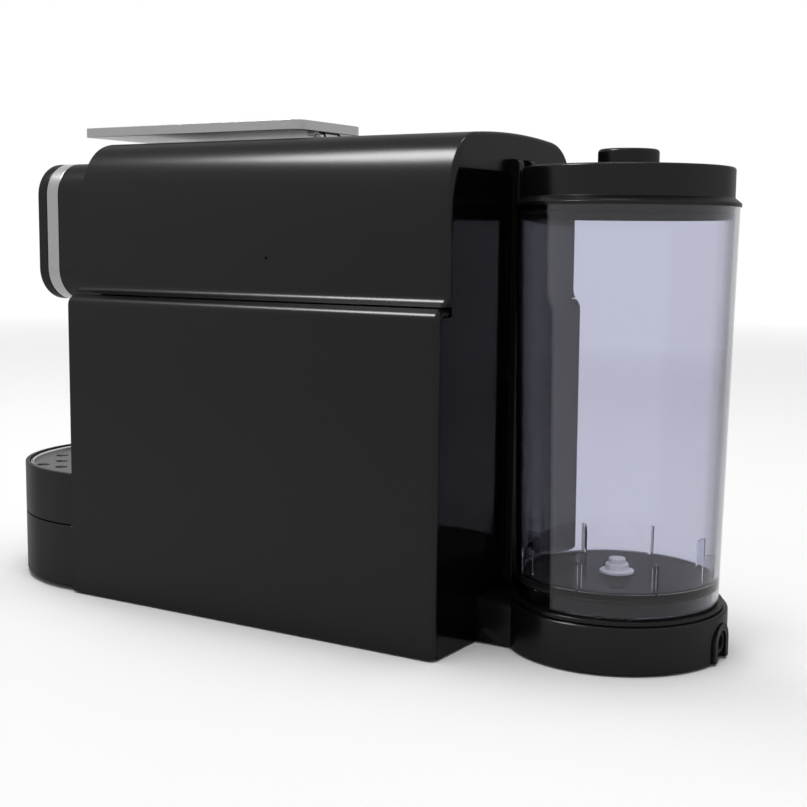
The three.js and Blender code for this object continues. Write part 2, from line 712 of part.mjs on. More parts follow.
function coffeeOutlet() {
  const z = brewAxisZ - 4;
  const pipe = rod("y", 0, z, 4, spoutY - 4, brewFront - 7 - gap);
  const drop = rod("z", 0, spoutY, 4, headBottom + 4, z + 4);
  const nozzle = turn([
    [0, headBottom - 13], [4, headBottom - 13], [6.2, headBottom - 11], [7, headBottom - 2],
    [7, headBottom + 5], [0, headBottom + 6],
  ], 0, spoutY, 16);
  const spout = rod("z", 0, spoutY, 2.4, headBottom - 14, headBottom + 2);
  return cut(join(pipe, drop, nozzle), spout);
}

function waterTube() {
  const bend = 8;
  const front = chamberRear + 2;
  return tube([
    [0, front, brewAxisZ], [0, waterTubeY - 3 * bend, brewAxisZ], [0, waterTubeY - bend, brewAxisZ],
    [0, waterTubeY, brewAxisZ - bend], [0, waterTubeY, brewAxisZ - 2 * bend],
    [0, waterTubeY, deckBottom - 0.5],
  ], 3, 20, 4);
}

const heaterHeight = 56;
const heaterHalfX = 32;
const heaterHalfY = 20;
const heaterRib = 3;
const heaterTop = deckBottom - 3 * gap;
const heaterBottom = heaterTop - heaterHeight;

function heater() {
  const y = waterTubeY;
  const corner = 2 * heaterRib;
  const outline = roundedRectangle(-heaterHalfX, y - heaterHalfY, heaterHalfX, y + heaterHalfY, corner);
  const block = extrude(outline, "z", heaterBottom, heaterTop, 1.5, 2);
  const reach = heaterHalfY + heaterRib;
  const spacing = 4 * heaterRib;
  const ribs = [-2, -1, 0, 1, 2].map((k) => {
    const x = k * spacing;
    const [low, high] = [heaterBottom + 2 * heaterRib, heaterTop - 2 * heaterRib];
    return box(x - 2, x + 2, y - reach, y + reach, low, high);
  });
  const legX = heaterHalfX - 2 * heaterRib;
  const legs = [-legX, legX].map((x) =>
    box(x - heaterRib, x + heaterRib, y - 4, y + 4, chassisTop + gap, heaterBottom + 2));
  return join(block, ...ribs, ...legs);
}

const pumpY = -95;
const pumpRadius = 20;
const pumpZ = chassisTop + pumpRadius + 10.5;
const pumpInlet = -46;
const pumpOutlet = 48;

function pump() {
  const profile = [
    [0, pumpInlet], [3, pumpInlet], [3, -36], [8, -34], [8, -22], [pumpRadius, -20],
    [pumpRadius, 20], [12, 22], [12, 38], [3, 40], [3, pumpOutlet], [0, pumpOutlet],
  ];
  const body = new THREE.LatheGeometry(profile.map(([r, h]) => new THREE.Vector2(r, h)), 16);
  const turned = toSolid(body.rotateZ(-Math.PI / 2).translate(0, pumpY, pumpZ));
  const yokeHalf = pumpRadius - 5;
  const reach = pumpRadius + 2;
  const yoke = box(-yokeHalf, yokeHalf, pumpY - reach, pumpY + reach, pumpZ - 17, pumpZ + 17);
  return join(turned, yoke);
}

function pumpMount(x, shaftRadius) {
  const half = shaftRadius + 3;
  const saddle = rod("x", pumpY, pumpZ, shaftRadius + gap, x - 10, x + 10);
  return cut(box(x - 4, x + 4, pumpY - half, pumpY + half, chassisTop + gap, pumpZ), saddle);
}

function inletHose() {
  const y = tankPortY;
  const low = plinthTop / 2;
  const end = pumpInlet - gap;
  return tube([
    [0, y, plinthTop], [0, y, plinthTop - 8], [0, y - 10, low], [0, -18, low], [-20, -32, low],
    [end - 4, -60, low + 7], [end - 8, pumpY + 8, pumpZ - 4], [end - 4, pumpY, pumpZ], [end, pumpY, pumpZ],
  ], 2.5, 32, 4);
}

function pumpHose() {
  const side = heaterHalfX + gap;
  const start = pumpOutlet + gap;
  return tube([
    [start, pumpY, pumpZ], [start + 4, pumpY, pumpZ], [start + 5, pumpY + 6, pumpZ + 20],
    [start + 2, waterTubeY - 8, heaterBottom + 8], [side + 10, waterTubeY - 4, heaterBottom + 14],
    [side, waterTubeY - 5, heaterBottom + 14],
  ], 2, 22, 4);
}

function controlBoard() {
  const x = postX + postHalf + gap;
  const board = box(x, x + boardThickness, postRows[1] - 12, postRows[0] + 8, 70, 128);
  const relay = box(x - 12, x + 0.5, -136, -118, 84, 100);
  const capacitor = rod("x", -100, 110, 6, x - 14, x + 0.5);
  const connector = box(x - 9, x + 0.5, -60, -40, 76, 86);
  return join(board, relay, capacitor, connector);
}

function podChute() {
  const top = deckBottom - gap;
  const bottom = trayTop + 2.2;
  const outer = box(-chuteHalf - 2.5, chuteHalf + 2.5, chuteFront - 2.5, chuteRear + 2.5, bottom, top);
  const inner = box(-chuteHalf, chuteHalf, chuteFront, chuteRear, bottom - 1, top + 1);
  return cut(outer, inner);
}

function cordGland() {
  const y = tankAxisY + plinthRadius - 3 - gap;
  const z = cordArchTop - cordArchHalfWidth;
  const radius = cordArchHalfWidth - gap;
  const collar = rod("y", 0, z, radius + 1.4, y - 7, y - 3);
  const neckPart = rod("y", 0, z, radius, y - 4, y + 3);
  return cut(join(collar, neckPart), rod("y", 0, z, 3.3, y - 12, y + 6));
}

function foot([x, y]) {
  const chamfer = 0.8;
  return turn([
    [0, 0], [footRadius - chamfer, 0], [footRadius, chamfer], [footRadius, footHeight], [0, footHeight],
  ], x, y, 16);
}

// ---------------------------------------------------------------- drip tray and pod bin
const trayRear = bodyFront - gap - 0.1;

function trayOutline(inset) {
  const radius = trayRadius - inset;
  const rear = trayRear - inset;
  const angle = Math.asin((rear - trayAxisY) / radius);
  return new THREE.Shape().absarc(0, trayAxisY, radius, Math.PI - angle, 2 * Math.PI + angle);
}

function trayBase() {
  const top = traySplit - gap;
  const shell = extrude(trayOutline(0), "z", trayLift, top, 0.8, 14);
  const hollow = extrude(trayOutline(wall), "z", trayLift + wall, top + 1, 0, 12);
  const tongueHalf = binHalfWidth + 3;
  const tongueRear = bodyFront + binLength + 9;
  const tongue = box(-tongueHalf, tongueHalf, trayRear - 4, tongueRear, trayLift + 2.1, trayLift + 4.3);
  return join(cut(shell, hollow), tongue);
}

function dripTray() {
  const bottom = traySplit + 0.2;
  const shell = extrude(trayOutline(0), "z", bottom, trayTop, 0.8, 14);
  const hollow = extrude(trayOutline(wall), "z", bottom + wall, trayTop + 1, 0, 14);
  const gridTop = trayTop - gridDrop;
  const stepTop = gridTop - gridThickness - gap;
  const step = extrude(trayOutline(wall - 0.1), "z", bottom + wall + 1, stepTop, 0, 14)
    .subtract(extrude(trayOutline(wall + 2), "z", bottom, trayTop, 0, 14));
  return join(cut(shell, hollow), step);
}

function dripGrid() {
  const top = trayTop - gridDrop;
  const plate = extrude(trayOutline(wall + gap), "z", top - gridThickness, top, 0, 14);
  const reach = trayRadius - wall - 2 * gridHoleRadius - gap;
  const holes = [];
  for (let y = trayAxisY - gridFirstRow; y < trayRear - gridHoleRadius - 2; y += gridPitch) {
    for (let column = -5; column < 5; column += 1) {
      const x = (column + 0.5) * gridPitch;
      if (Math.hypot(x, y - trayAxisY) > reach) continue;
      holes.push(rod("z", x, y, gridHoleRadius, top - gridThickness - 1, top + 1, 0, 8));
    }
  }
  return cut(plate, ...holes);
}

function podBin() {
  const front = bodyFront + 5;
  const bottom = trayLift + 4.3 + gap;
  const outline = (inset) => roundedRectangle(
    -binHalfWidth + inset, front + inset, binHalfWidth - inset, front + binLength - inset, 6 - inset);
  const inner = extrude(outline(2), "z", bottom + 2, trayTop + 1);
  return cut(extrude(outline(0), "z", bottom, trayTop), inner);
}

// ---------------------------------------------------------------- water tank, lid and valve
function waterTank() {
  const floorBottom = tankFloorTop - 2.4;
  const skirtWall = tankWall + 0.4;
  const slope = (tankRimRadius - tankFootRadius) / (tankRim - tankBottom);
  const outerAt = (z) => tankFootRadius + slope * (z - tankBottom);
  const shell = turnRing([
    [outerAt(tankBottom), tankBottom], [outerAt(tankRim), tankRim], [outerAt(tankRim) - tankWall, tankRim],
    [outerAt(tankFloorTop) - tankWall, tankFloorTop], [4.6, tankFloorTop], [4.6, floorBottom],
    [outerAt(floorBottom) - skirtWall, floorBottom], [outerAt(tankBottom) - skirtWall, tankBottom],
  ], 0, tankAxisY, 32);
  const ribOuter = outerAt(tankFloorTop) - tankWall + 0.6;
  const ribInner = ribOuter - 0.6 - tankRibDepth;
  const ribTop = tankFloorTop + tankRibHeight;
  const profile = new THREE.Shape()
    .moveTo(ribInner, tankFloorTop - 0.5)
    .lineTo(ribOuter, tankFloorTop - 0.5)
    .lineTo(ribOuter, ribTop)
    .lineTo(ribOuter - 1.6, ribTop)
    .quadraticCurveTo(ribInner, ribTop, ribInner, ribTop - 4);
  const ribs = [];
  for (let k = 0; k < tankRibs; k += 1) {
    const rib = extruded(profile, "y", -0.75, 0.75, 0, 3);
    ribs.push(toSolid(rib.rotateZ(2 * Math.PI * k / tankRibs).translate(0, tankAxisY, 0)));
  }
  return join(shell, ...ribs);
}

const lidFoot = tankRim + gap;
const collarRadius = tankRimRadius - tankWall - 0.9;

function tankLid() {
  const flange = tankRimRadius + 0.3;
  return turn([
    [0, lidTop], [knobRadius + 3, lidTop], [lidRadius - 2.4, lidTop - 1.5], [lidRadius - 0.7, lidTop - 2],
    [lidRadius, lidTop - 2.9], [lidRadius, lidFoot + 3.6], [flange, lidFoot + 0.7], [flange, lidFoot],
    [collarRadius, lidFoot], [collarRadius, lidFoot - 2.8], [collarRadius - 1.3, lidFoot - 2.8],
    [collarRadius - 1.3, lidFoot - 5.2], [collarRadius, lidFoot - 5.2], [collarRadius, lidFoot - 6.7],
    [collarRadius - 2.3, lidFoot - 6.7], [collarRadius - 2.3, lidTop - 5], [0, lidTop - 3.5],
  ], 0, tankAxisY, 32);
}

function lidKnob() {
  const bottom = lidTop + gap;
  const top = bottom + knobHeight;
  return turn([
    [0, top], [knobRadius - 1.4, top - 0.2], [knobRadius - 0.3, top - 0.9], [knobRadius, top - 1.9],
    [knobRadius, bottom], [0, bottom],
  ], 0, tankAxisY, 32);
}

function lidSeal() {
  const inner = collarRadius - 1.3 + gap;
  const middle = lidFoot - 4;
  return turnRing([
    [inner, middle - 0.8], [collarRadius + 0.3, middle - 0.8], [collarRadius + 0.5, middle],
    [collarRadius + 0.3, middle + 0.8], [inner, middle + 0.8],
  ], 0, tankAxisY, 32);
}

const valveBottom = 29.5;
const valveTop = tankFloorTop + 4.8;
const springTop = tankFloorTop + 1.4;

function valveBody() {
  const seat = tankFloorTop + gap;
  return turnRing([
    [3.4, valveBottom], [4.2, valveBottom], [4.2, seat], [8.1, seat], [8.1, seat + 1.2], [5.5, seat + 1.2],
    [5.5, valveTop - 0.4], [5.1, valveTop], [1.5, valveTop], [1.5, springTop], [3.4, springTop],
  ], 0, tankAxisY, 12);
}

function valvePlunger() {
  const capBottom = valveTop + gap;
  return turn([
    [0, valveBottom - 0.6], [2.7, valveBottom - 0.6], [2.7, valveBottom + 0.5], [1.2, valveBottom + 0.5],
    [1.2, capBottom], [4, capBottom], [4, capBottom + 1.5], [3.4, capBottom + 2.1], [0, capBottom + 2.1],
  ], 0, tankAxisY, 16);
}

class Helix extends THREE.Curve {
  constructor(radius, bottom, top, turns) {
    super();
    Object.assign(this, { radius, bottom, top, turns });
  }

  getPoint(t, target = new THREE.Vector3()) {
    const angle = 2 * Math.PI * this.turns * t;
    const height = this.bottom + (this.top - this.bottom) * t;
    return target.set(this.radius * Math.cos(angle), tankAxisY + this.radius * Math.sin(angle), height);
  }
}

function valveSpring() {
  const wire = 0.35;
  const path = new Helix(2.3, valveBottom + 0.5 + wire + gap, springTop - wire - gap, 4);
  const options = { steps: 36, curveSegments: 3, extrudePath: path };
  return toSolid(new THREE.ExtrudeGeometry(circle(0, 0, wire), options));
}

// ---------------------------------------------------------------- the machine
add("upper_cover", upperCover(), satinBlack);
const shell = sideShell();
add("side_shell_right", shell, satinBlack);
add("side_shell_left", mirrored(shell), satinBlack);
add("front_panel", frontPanel(), satinBlack);
add("rear_panel", rearPanel(), glossBlack);
const rib = guideRib();
add("guide_rib_right", rib, satinBlack);
add("guide_rib_left", mirrored(rib), satinBlack);
add("chassis", chassis(), satinBlack);
add("deck", deck(), innerPlastic);
add("tank_seat", tankSeat(), satinBlack);
footPlaces.forEach((place, i) => add(`foot_${i + 1}`, foot(place), rubber));

add("head_body", headBody(), satinBlack);
add("head_band", headBand(), silver);
add("head_cap", headCap(), satinBlack);
add("button_short", button(-buttonX), greyPlastic);
add("button_long", button(buttonX), greyPlastic);
add("button_board", buttonBoard(), boardGreen);

add("lever_plate", leverPlate(), leverMetal);
add("lever_hub", leverHub(), innerPlastic);
const bracket = hingeBracket();
add("hinge_bracket_right", bracket, satinBlack);
add("hinge_bracket_left", mirrored(bracket), satinBlack);
add("hinge_pin", hingePin(), steel);
add("idler_gear", idlerGear(), greyPlastic);
add("idler_axle", idlerAxle(), steel);

add("brew_frame", brewFrame(), innerPlastic);
add("brew_chamber", brewChamber(), greyPlastic);
add("brew_plate", brewPlate(), castMetal);
add("coffee_outlet", coffeeOutlet(), satinBlack);
add("water_tube", waterTube(), steel);
add("heater", heater(), castMetal);
add("pump", pump(), greyPlastic);
add("pump_mount_left", pumpMount(-28, 8), rubber);
add("pump_mount_right", pumpMount(30, 12), rubber);
add("inlet_hose", inletHose(), siliconeTube);
add("pump_hose", pumpHose(), siliconeTube);
add("control_board", controlBoard(), boardGreen);
add("pod_chute", podChute(), innerPlastic);
add("cord_gland", cordGland(), rubber);

add("tray_base", trayBase(), satinBlack);
add("drip_tray", dripTray(), satinBlack);
add("drip_grid", dripGrid(), gridSteel);
add("pod_bin", podBin(), innerPlastic);

add("water_tank", waterTank(), clearPlastic);
add("tank_lid", tankLid(), satinBlack);
add("lid_knob", lidKnob(), satinBlack);
add("lid_seal", lidSeal(), rubber);
add("valve_body", valveBody(), whitePlastic);
add("valve_plunger", valvePlunger(), greyPlastic);
add("valve_spring", valveSpring(), steel);

machine.position.y = -(trayFront + machineRear) / 2;

export default machine;
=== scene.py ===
# %% [markdown]
# # A pod coffee machine with a round rear water tank
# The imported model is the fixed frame: every piece here is laid over a solid of that frame, in
# metres, and moves with its body. The frame is loaded first, because places are read from it.

# %% Load the frame
import json
import math

import bmesh
import bpy
from mathutils import Matrix, Vector


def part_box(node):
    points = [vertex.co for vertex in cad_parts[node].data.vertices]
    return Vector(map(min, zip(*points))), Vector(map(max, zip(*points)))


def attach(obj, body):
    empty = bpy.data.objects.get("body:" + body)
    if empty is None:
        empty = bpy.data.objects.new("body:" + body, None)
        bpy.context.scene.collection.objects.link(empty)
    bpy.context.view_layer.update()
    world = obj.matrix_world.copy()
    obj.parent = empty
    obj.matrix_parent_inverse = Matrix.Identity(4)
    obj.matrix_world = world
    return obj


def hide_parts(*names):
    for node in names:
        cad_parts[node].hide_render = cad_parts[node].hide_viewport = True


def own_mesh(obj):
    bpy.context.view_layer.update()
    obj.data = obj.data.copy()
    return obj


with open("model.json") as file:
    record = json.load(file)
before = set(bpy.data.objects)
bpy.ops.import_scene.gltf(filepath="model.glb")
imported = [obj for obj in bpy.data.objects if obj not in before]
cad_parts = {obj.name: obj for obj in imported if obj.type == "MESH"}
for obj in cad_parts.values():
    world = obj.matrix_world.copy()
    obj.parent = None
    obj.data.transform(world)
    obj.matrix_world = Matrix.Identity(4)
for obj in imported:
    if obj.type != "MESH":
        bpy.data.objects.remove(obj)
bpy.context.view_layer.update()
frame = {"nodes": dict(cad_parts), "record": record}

MM = 0.001

# %% [markdown]
# ## Camera
# The camera comes first, so that every piece can be looked at as soon as it is made. It stands
# low behind the right side of the machine and looks slightly down at it. Three angles, in
# radians, turn it: round the upright axis, down, and a little about its own line of sight.

# %% Camera
CAMERA_PLACE = Vector((0.5873, 0.3961, 0.1905))
YAW, DIP, TILT = 0.5514, 0.1217, 0.0094
ahead = Vector((-math.cos(YAW) * math.cos(DIP), -math.sin(YAW) * math.cos(DIP), -math.sin(DIP)))
level_right = ahead.cross(Vector((0, 0, 1))).normalized()
level_up = level_right.cross(ahead)
right = math.cos(TILT) * level_right + math.sin(TILT) * level_up
up = math.cos(TILT) * level_up - math.sin(TILT) * level_right
lens = bpy.data.cameras.new("camera")
lens.lens = 60.62
lens.sensor_width = 36
camera = bpy.data.objects.new("camera", lens)
bpy.context.scene.collection.objects.link(camera)
turned = Matrix((right, up, -ahead)).transposed().to_4x4()
camera.matrix_world = Matrix.Translation(CAMERA_PLACE) @ turned
bpy.context.scene.camera = camera
print("camera height", round(CAMERA_PLACE.z, 3), "lens", lens.lens)

# %% [markdown]
# ## Places
# A maker measures this machine in millimetres from the middle of the body's rear face, at table
# height. `spot` turns such a measure into a place in the frame.

# %% Places in millimetres
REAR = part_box("rear_panel")[1].y


def spot(x, y, z):
    return Vector((x * MM, REAR + y * MM, z * MM))


def measure(place):
    return Vector((place.x / MM, (place.y - REAR) / MM, place.z / MM))


low_corner, high_corner = (measure(corner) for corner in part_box("upper_cover"))
print("cover spans, mm:", [round(v, 1) for v in low_corner], [round(v, 1) for v in high_corner])

# %% [markdown]
# ## Drawing tools
# Most of the machine is moulded from outlines that run straight along one axis, or turned round
# an upright axis. So one tool draws an outline point by point with the extrude operator, one
# pushes it into a bar, one spins it, and one rounds edges that are picked by their place.

# %% Select and enter a piece
def deselect():
    if bpy.context.mode != "OBJECT":
        bpy.ops.object.mode_set(mode="OBJECT")
    bpy.ops.object.select_all(action="DESELECT")


def activate(piece):
    deselect()
    piece.select_set(True)
    bpy.context.view_layer.objects.active = piece


def enter(piece, kind="VERT"):
    activate(piece)
    bpy.ops.object.mode_set(mode="EDIT")
    bpy.ops.mesh.select_mode(type=kind)
    bpy.ops.mesh.select_all(action="SELECT")


# %% Draw an outline, push it, turn it
SAME_PLACE, NO_STEP = 1e-6, 1e-7


def draw(name, places, closed=True):
    """Draws an outline point by point, and fills it where it is closed."""
    deselect()
    bpy.ops.mesh.primitive_plane_add(size=MM, location=places[0])
    piece = bpy.context.object
    piece.name = piece.data.name = name
    bpy.ops.object.transform_apply(location=True, rotation=True, scale=True)
    enter(piece)
    bpy.ops.mesh.merge(type="CENTER")
    loop = list(places) + ([places[0]] if closed else [])
    for last, here in zip(loop, loop[1:]):
        if (here - last).length > NO_STEP:
            bpy.ops.mesh.extrude_vertices_move(TRANSFORM_OT_translate={"value": here - last})
    bpy.ops.mesh.select_all(action="SELECT")
    bpy.ops.mesh.remove_doubles(threshold=SAME_PLACE)
    if closed:
        bpy.ops.mesh.edge_face_add()
    bpy.ops.object.mode_set(mode="OBJECT")
    return piece


def face_out(piece):
    """Closes seams and poles, and turns every face outwards."""
    enter(piece)
    bpy.ops.mesh.remove_doubles(threshold=SAME_PLACE)
    bpy.ops.mesh.normals_make_consistent(inside=False)
    bpy.ops.object.mode_set(mode="OBJECT")


LAY = {
    "x": lambda point, depth: spot(depth, *point),
    "y": lambda point, depth: spot(point[0], depth, point[1]),
    "z": lambda point, depth: spot(*point, depth),
}


def bar(name, outline, axis, low, high):
    """Pushes an outline that lies across an axis from low to high."""
    lay = LAY[axis]
    piece = draw(name, [lay(point, low) for point in outline])
    enter(piece, "FACE")
    step = lay((0, 0), high) - lay((0, 0), low)
    bpy.ops.mesh.extrude_region_move(TRANSFORM_OT_translate={"value": step})
    face_out(piece)
    return piece


def turned_piece(name, profile, x, y, steps=96):
    """Spins a profile of radii and heights round the upright axis at x, y."""
    piece = draw(name, [spot(x + radius, y, height) for radius, height in profile], closed=False)
    enter(piece)
    bpy.ops.mesh.spin(steps=steps, angle=math.tau, center=spot(x, y, 0), axis=(0, 0, 1))
    face_out(piece)
    return piece


# %% Pick edges or faces by place, and round them
def choose(piece, kind, test):
    """Selects the edges or faces that pass a test on their middle, and counts them."""
    enter(piece, kind)
    bpy.ops.mesh.select_all(action="DESELECT")
    mesh = bmesh.from_edit_mesh(piece.data)
    found = 0
    for part in mesh.edges if kind == "EDGE" else mesh.faces:
        middle = sum((corner.co for corner in part.verts), Vector()) / len(part.verts)
        if test(measure(middle), part):
            part.select = True
            found += 1
    mesh.select_flush_mode()
    bmesh.update_edit_mesh(piece.data)
    return found


def round_edges(piece, width, segments, test):
    if choose(piece, "EDGE", test):
        bpy.ops.mesh.bevel(offset=width * MM, segments=segments, affect="EDGES", clamp_overlap=True)
    bpy.ops.object.mode_set(mode="OBJECT")


def slice_off(piece, place, normal):
    """Cuts away all that lies past a flat cut, on the side that the normal points to."""
    enter(piece)
    bpy.ops.mesh.bisect(plane_co=place, plane_no=normal, use_fill=True, clear_outer=True)
    bpy.ops.object.mode_set(mode="OBJECT")


CLOSE = 0.02


def near(value, target):
    return abs(value - target) < CLOSE


def flat_at(axis, *levels):
    """Edges that lie in one of these planes across an axis."""
    index = "xyz".index(axis)

    def test(middle, edge):
        ends = [measure(corner.co)[index] for corner in edge.verts]
        return any(all(near(end, level) for end in ends) for level in levels)

    return test


# %% Join, carve and finish a mesh
def apply(piece, kind, **settings):
    activate(piece)
    modifier = piece.modifiers.new(kind.lower(), kind)
    for key, value in settings.items():
        setattr(modifier, key, value)
    bpy.ops.object.modifier_apply(modifier=modifier.name)


def combine(piece, tool, operation):
    apply(piece, "BOOLEAN", object=tool, operation=operation, solver="EXACT")
    bpy.data.objects.remove(tool)
    return piece


def carve(piece, *tools):
    for tool in tools:
        combine(piece, tool, "DIFFERENCE")
    return piece


def weld(piece, *others):
    for other in others:
        combine(piece, other, "UNION")
    return piece


def rod(axis, across, above, radius, low, high, sides=48):
    outline = arc(across, above, radius, 0, 360, sides)[:-1]
    return bar("rod", outline, axis, low, high)


def block(x0, x1, y0, y1, z0, z1):
    return bar("block", [(x0, z0), (x1, z0), (x1, z1), (x0, z1)], "y", y0, y1)


def copy_of(piece, name):
    """A copy with its own mesh."""
    deselect()
    twin = piece.copy()
    twin.data = piece.data.copy()
    twin.name = twin.data.name = name
    bpy.context.scene.collection.objects.link(twin)
    return twin


def mirror(piece, name):
    twin = copy_of(piece, name)
    enter(twin)
    bpy.ops.transform.mirror(constraint_axis=(True, False, False), center_override=(0, 0, 0))
    bpy.ops.mesh.normals_make_consistent(inside=False)
    bpy.ops.object.mode_set(mode="OBJECT")
    return twin


SHARP_FROM = math.radians(32)


def smooth(piece):
    """Shades a finished mesh, and keeps the edges that are sharper than a set angle."""
    face_out(piece)
    activate(piece)
    bpy.ops.object.shade_smooth_by_angle(angle=SHARP_FROM)
    apply(piece, "WEIGHTED_NORMAL", keep_sharp=True, weight=60)


# %% Outlines
def arc(across, above, radius, start, end, steps=12):
    angles = [math.radians(start + (end - start) * i / steps) for i in range(steps + 1)]
    return [(across + radius * math.cos(a), above + radius * math.sin(a)) for a in angles]


def bend(*controls, steps=16):
    """Points of a curve through its first and last control, pulled by those between."""
    points = []
    for i in range(steps + 1):
        t = i / steps
        layer = list(controls)
        while len(layer) > 1:
            pairs = zip(layer, layer[1:])
            layer = [tuple(p + (q - p) * t for p, q in zip(a, b)) for a, b in pairs]
        points.append(layer[0])
    return points


def rounded(left, bottom, right, top, radius, steps=10):
    return (
        arc(right - radius, bottom + radius, radius, -90, 0, steps)
        + arc(right - radius, top - radius, radius, 0, 90, steps)
        + arc(left + radius, top - radius, radius, 90, 180, steps)
        + arc(left + radius, bottom + radius, radius, 180, 270, steps)
    )


print("corner of a rounded outline:", [round(v, 2) for v in rounded(-10, -10, 10, 10, 3)[3]])

# %% [markdown]
# ## Shader maths
# A finish is a small graph of nodes. Written by hand it is long, so a value that varies over the
# surface is wrapped in a class whose operators add the Math nodes: `grain * 0.2 + 0.3` reads as it
# works. Every other node comes from one method, which sets its kind, then its settings, then
# its sockets.

# %% A value that varies, and a finish that holds its nodes
class Varying:
    def __init__(self, finish, socket):
        self.finish = finish
        self.socket = socket

    def maths(self, operation, first, second):
        found = self.finish.node("Math", {"operation": operation}, {0: first, 1: second})
        return Varying(self.finish, found.outputs[0])

    def __add__(self, other):
        return self.maths("ADD", self, other)

    def __sub__(self, other):
        return self.maths("SUBTRACT", self, other)

    def __mul__(self, other):
        return self.maths("MULTIPLY", self, other)

    def __gt__(self, other):
        return self.maths("GREATER_THAN", self, other)

    def __lt__(self, other):
        return self.maths("LESS_THAN", self, other)

    __radd__ = __add__
    __rmul__ = __mul__

    def __rsub__(self, other):
        return self.maths("SUBTRACT", other, self)


class Finish:
    def __init__(self, name, **constants):
        self.material = bpy.data.materials.new(name)
        self.material.use_nodes = True
        self.tree = self.material.node_tree
        self.shader = self.tree.nodes["Principled BSDF"]
        for key, value in constants.items():
            self.shader.inputs[key.replace("_", " ")].default_value = value

    def put(self, socket, value):
        if isinstance(value, Varying):
            value = value.socket
        if isinstance(value, bpy.types.NodeSocket):
            self.tree.links.new(value, socket)
        else:
            socket.default_value = value

    def node(self, kind, settings=None, sockets=None):
        made = self.tree.nodes.new("ShaderNode" + kind)
        for key, value in (settings or {}).items():
            setattr(made, key, value)
        for key, value in (sockets or {}).items():
            self.put(made.inputs[key], value)
        return made

    def feed(self, **sockets):
        for key, value in sockets.items():
            self.put(self.shader.inputs[key.replace("_", " ")], value)
        return self

    def place(self, scale=(1, 1, 1), turn=(0, 0, 0)):
        found = self.node("TexCoord")
        mapping = self.node("Mapping", {}, {"Vector": found.outputs["Object"]})
        mapping.inputs["Scale"].default_value = scale
        mapping.inputs["Rotation"].default_value = turn
        return mapping.outputs[0]

    def noise(self, scale, detail=3.0, stretch=(1, 1, 1)):
        """Cloudy noise. A small number in stretch draws it out along that axis."""
        sockets = {"Vector": self.place(stretch), "Scale": scale, "Detail": detail}
        return Varying(self, self.node("TexNoise", {}, sockets).outputs["Fac"])

    def blend(self, factor, first, second):
        made = self.node("Mix", {"data_type": "RGBA"}, {0: factor, 6: first, 7: second})
        return made.outputs[2]

    def relief(self, height, distance, strength=1.0):
        made = self.node("Bump", {}, {"Height": height, "Distance": distance, "Strength": strength})
        return self.feed(Normal=made.outputs[0])

    def aslant(self, low, high):
        """0 where a face is seen straight on, rising to 1 where it is seen edge on."""
        facing = self.node("LayerWeight", {}, {"Blend": 0.5}).outputs["Facing"]
        smoothly = {"interpolation_type": "SMOOTHSTEP"}
        made = self.node("MapRange", smoothly, {0: facing, 1: low, 2: high})
        return Varying(self, made.outputs[0])

    def upright(self):
        """How far a face looks up: 1 for a level top, -1 for an underside."""
        normal = self.node("NewGeometry").outputs["Normal"]
        return Varying(self, self.node("SeparateXYZ", {}, {0: normal}).outputs["Z"])

    def lay_over(self, factor, other):
        """Lays another shader over the finish, as strongly as the factor says."""
        sockets = {0: factor, 1: self.shader.outputs[0], 2: other.outputs[0]}
        mix = self.node("MixShader", {}, sockets)
        self.put(self.tree.nodes["Material Output"].inputs["Surface"], mix.outputs[0])

    def veil(self, factor, colour):
        """Lays a plain matte colour over the finish."""
        self.lay_over(factor, self.node("BsdfDiffuse", {}, {"Color": colour}))


def shade(red, green=None, blue=None):
    green = red if green is None else green
    blue = red if blue is None else blue
    return (red, green, blue, 1.0)


print("shader tools ready")

# %% [markdown]
# ## Finishes
# The body is moulded in black plastic with a fine satin grain: nearly all that the eye sees is
# the soft reflection on it, so its roughness and its small relief matter more than its colour.
# Where it is seen aslant, a matte black is laid over it: painted shade that takes away the
# reflection there.

# %% Satin black plastic
BLACK = 0.004
satin = Finish("satin_black", Specular_IOR_Level=0.215)
grain = satin.noise(2600, 2.0)
cloud = satin.noise(14, 3.0)
darker, lighter = shade(BLACK * 0.85), shade(BLACK * 1.15, BLACK * 1.15, BLACK * 1.2)
satin.feed(
    Base_Color=satin.blend(cloud, darker, lighter),
    Roughness=0.218 + cloud * 0.03 + grain * 0.02,
)
satin.relief(grain * 0.7 + cloud * 0.3, 0.00002, 0.25)
# Painted shade: a matte black veil where a face is seen aslant, in place of its reflection.
satin.veil(satin.aslant(0.18, 0.64) * 0.64, shade(BLACK))
satin_black = satin.material
print("made", satin_black.name)

# %% [markdown]
# The rear panel is a mirror-like black. A little haze from wiping keeps it from looking like a
# hole, and it reflects the tank and the ribs sharply.

# %% Gloss black
gloss = Finish("gloss_black", Specular_IOR_Level=0.07)
wipe = gloss.noise(9, 4.0, (1, 1, 0.3))
gloss.feed(
    Base_Color=gloss.blend(wipe, shade(0.0015), shade(0.0025)),
    Roughness=0.03 + wipe * 0.03,
)
gloss_black = gloss.material
print("made", gloss_black.name)
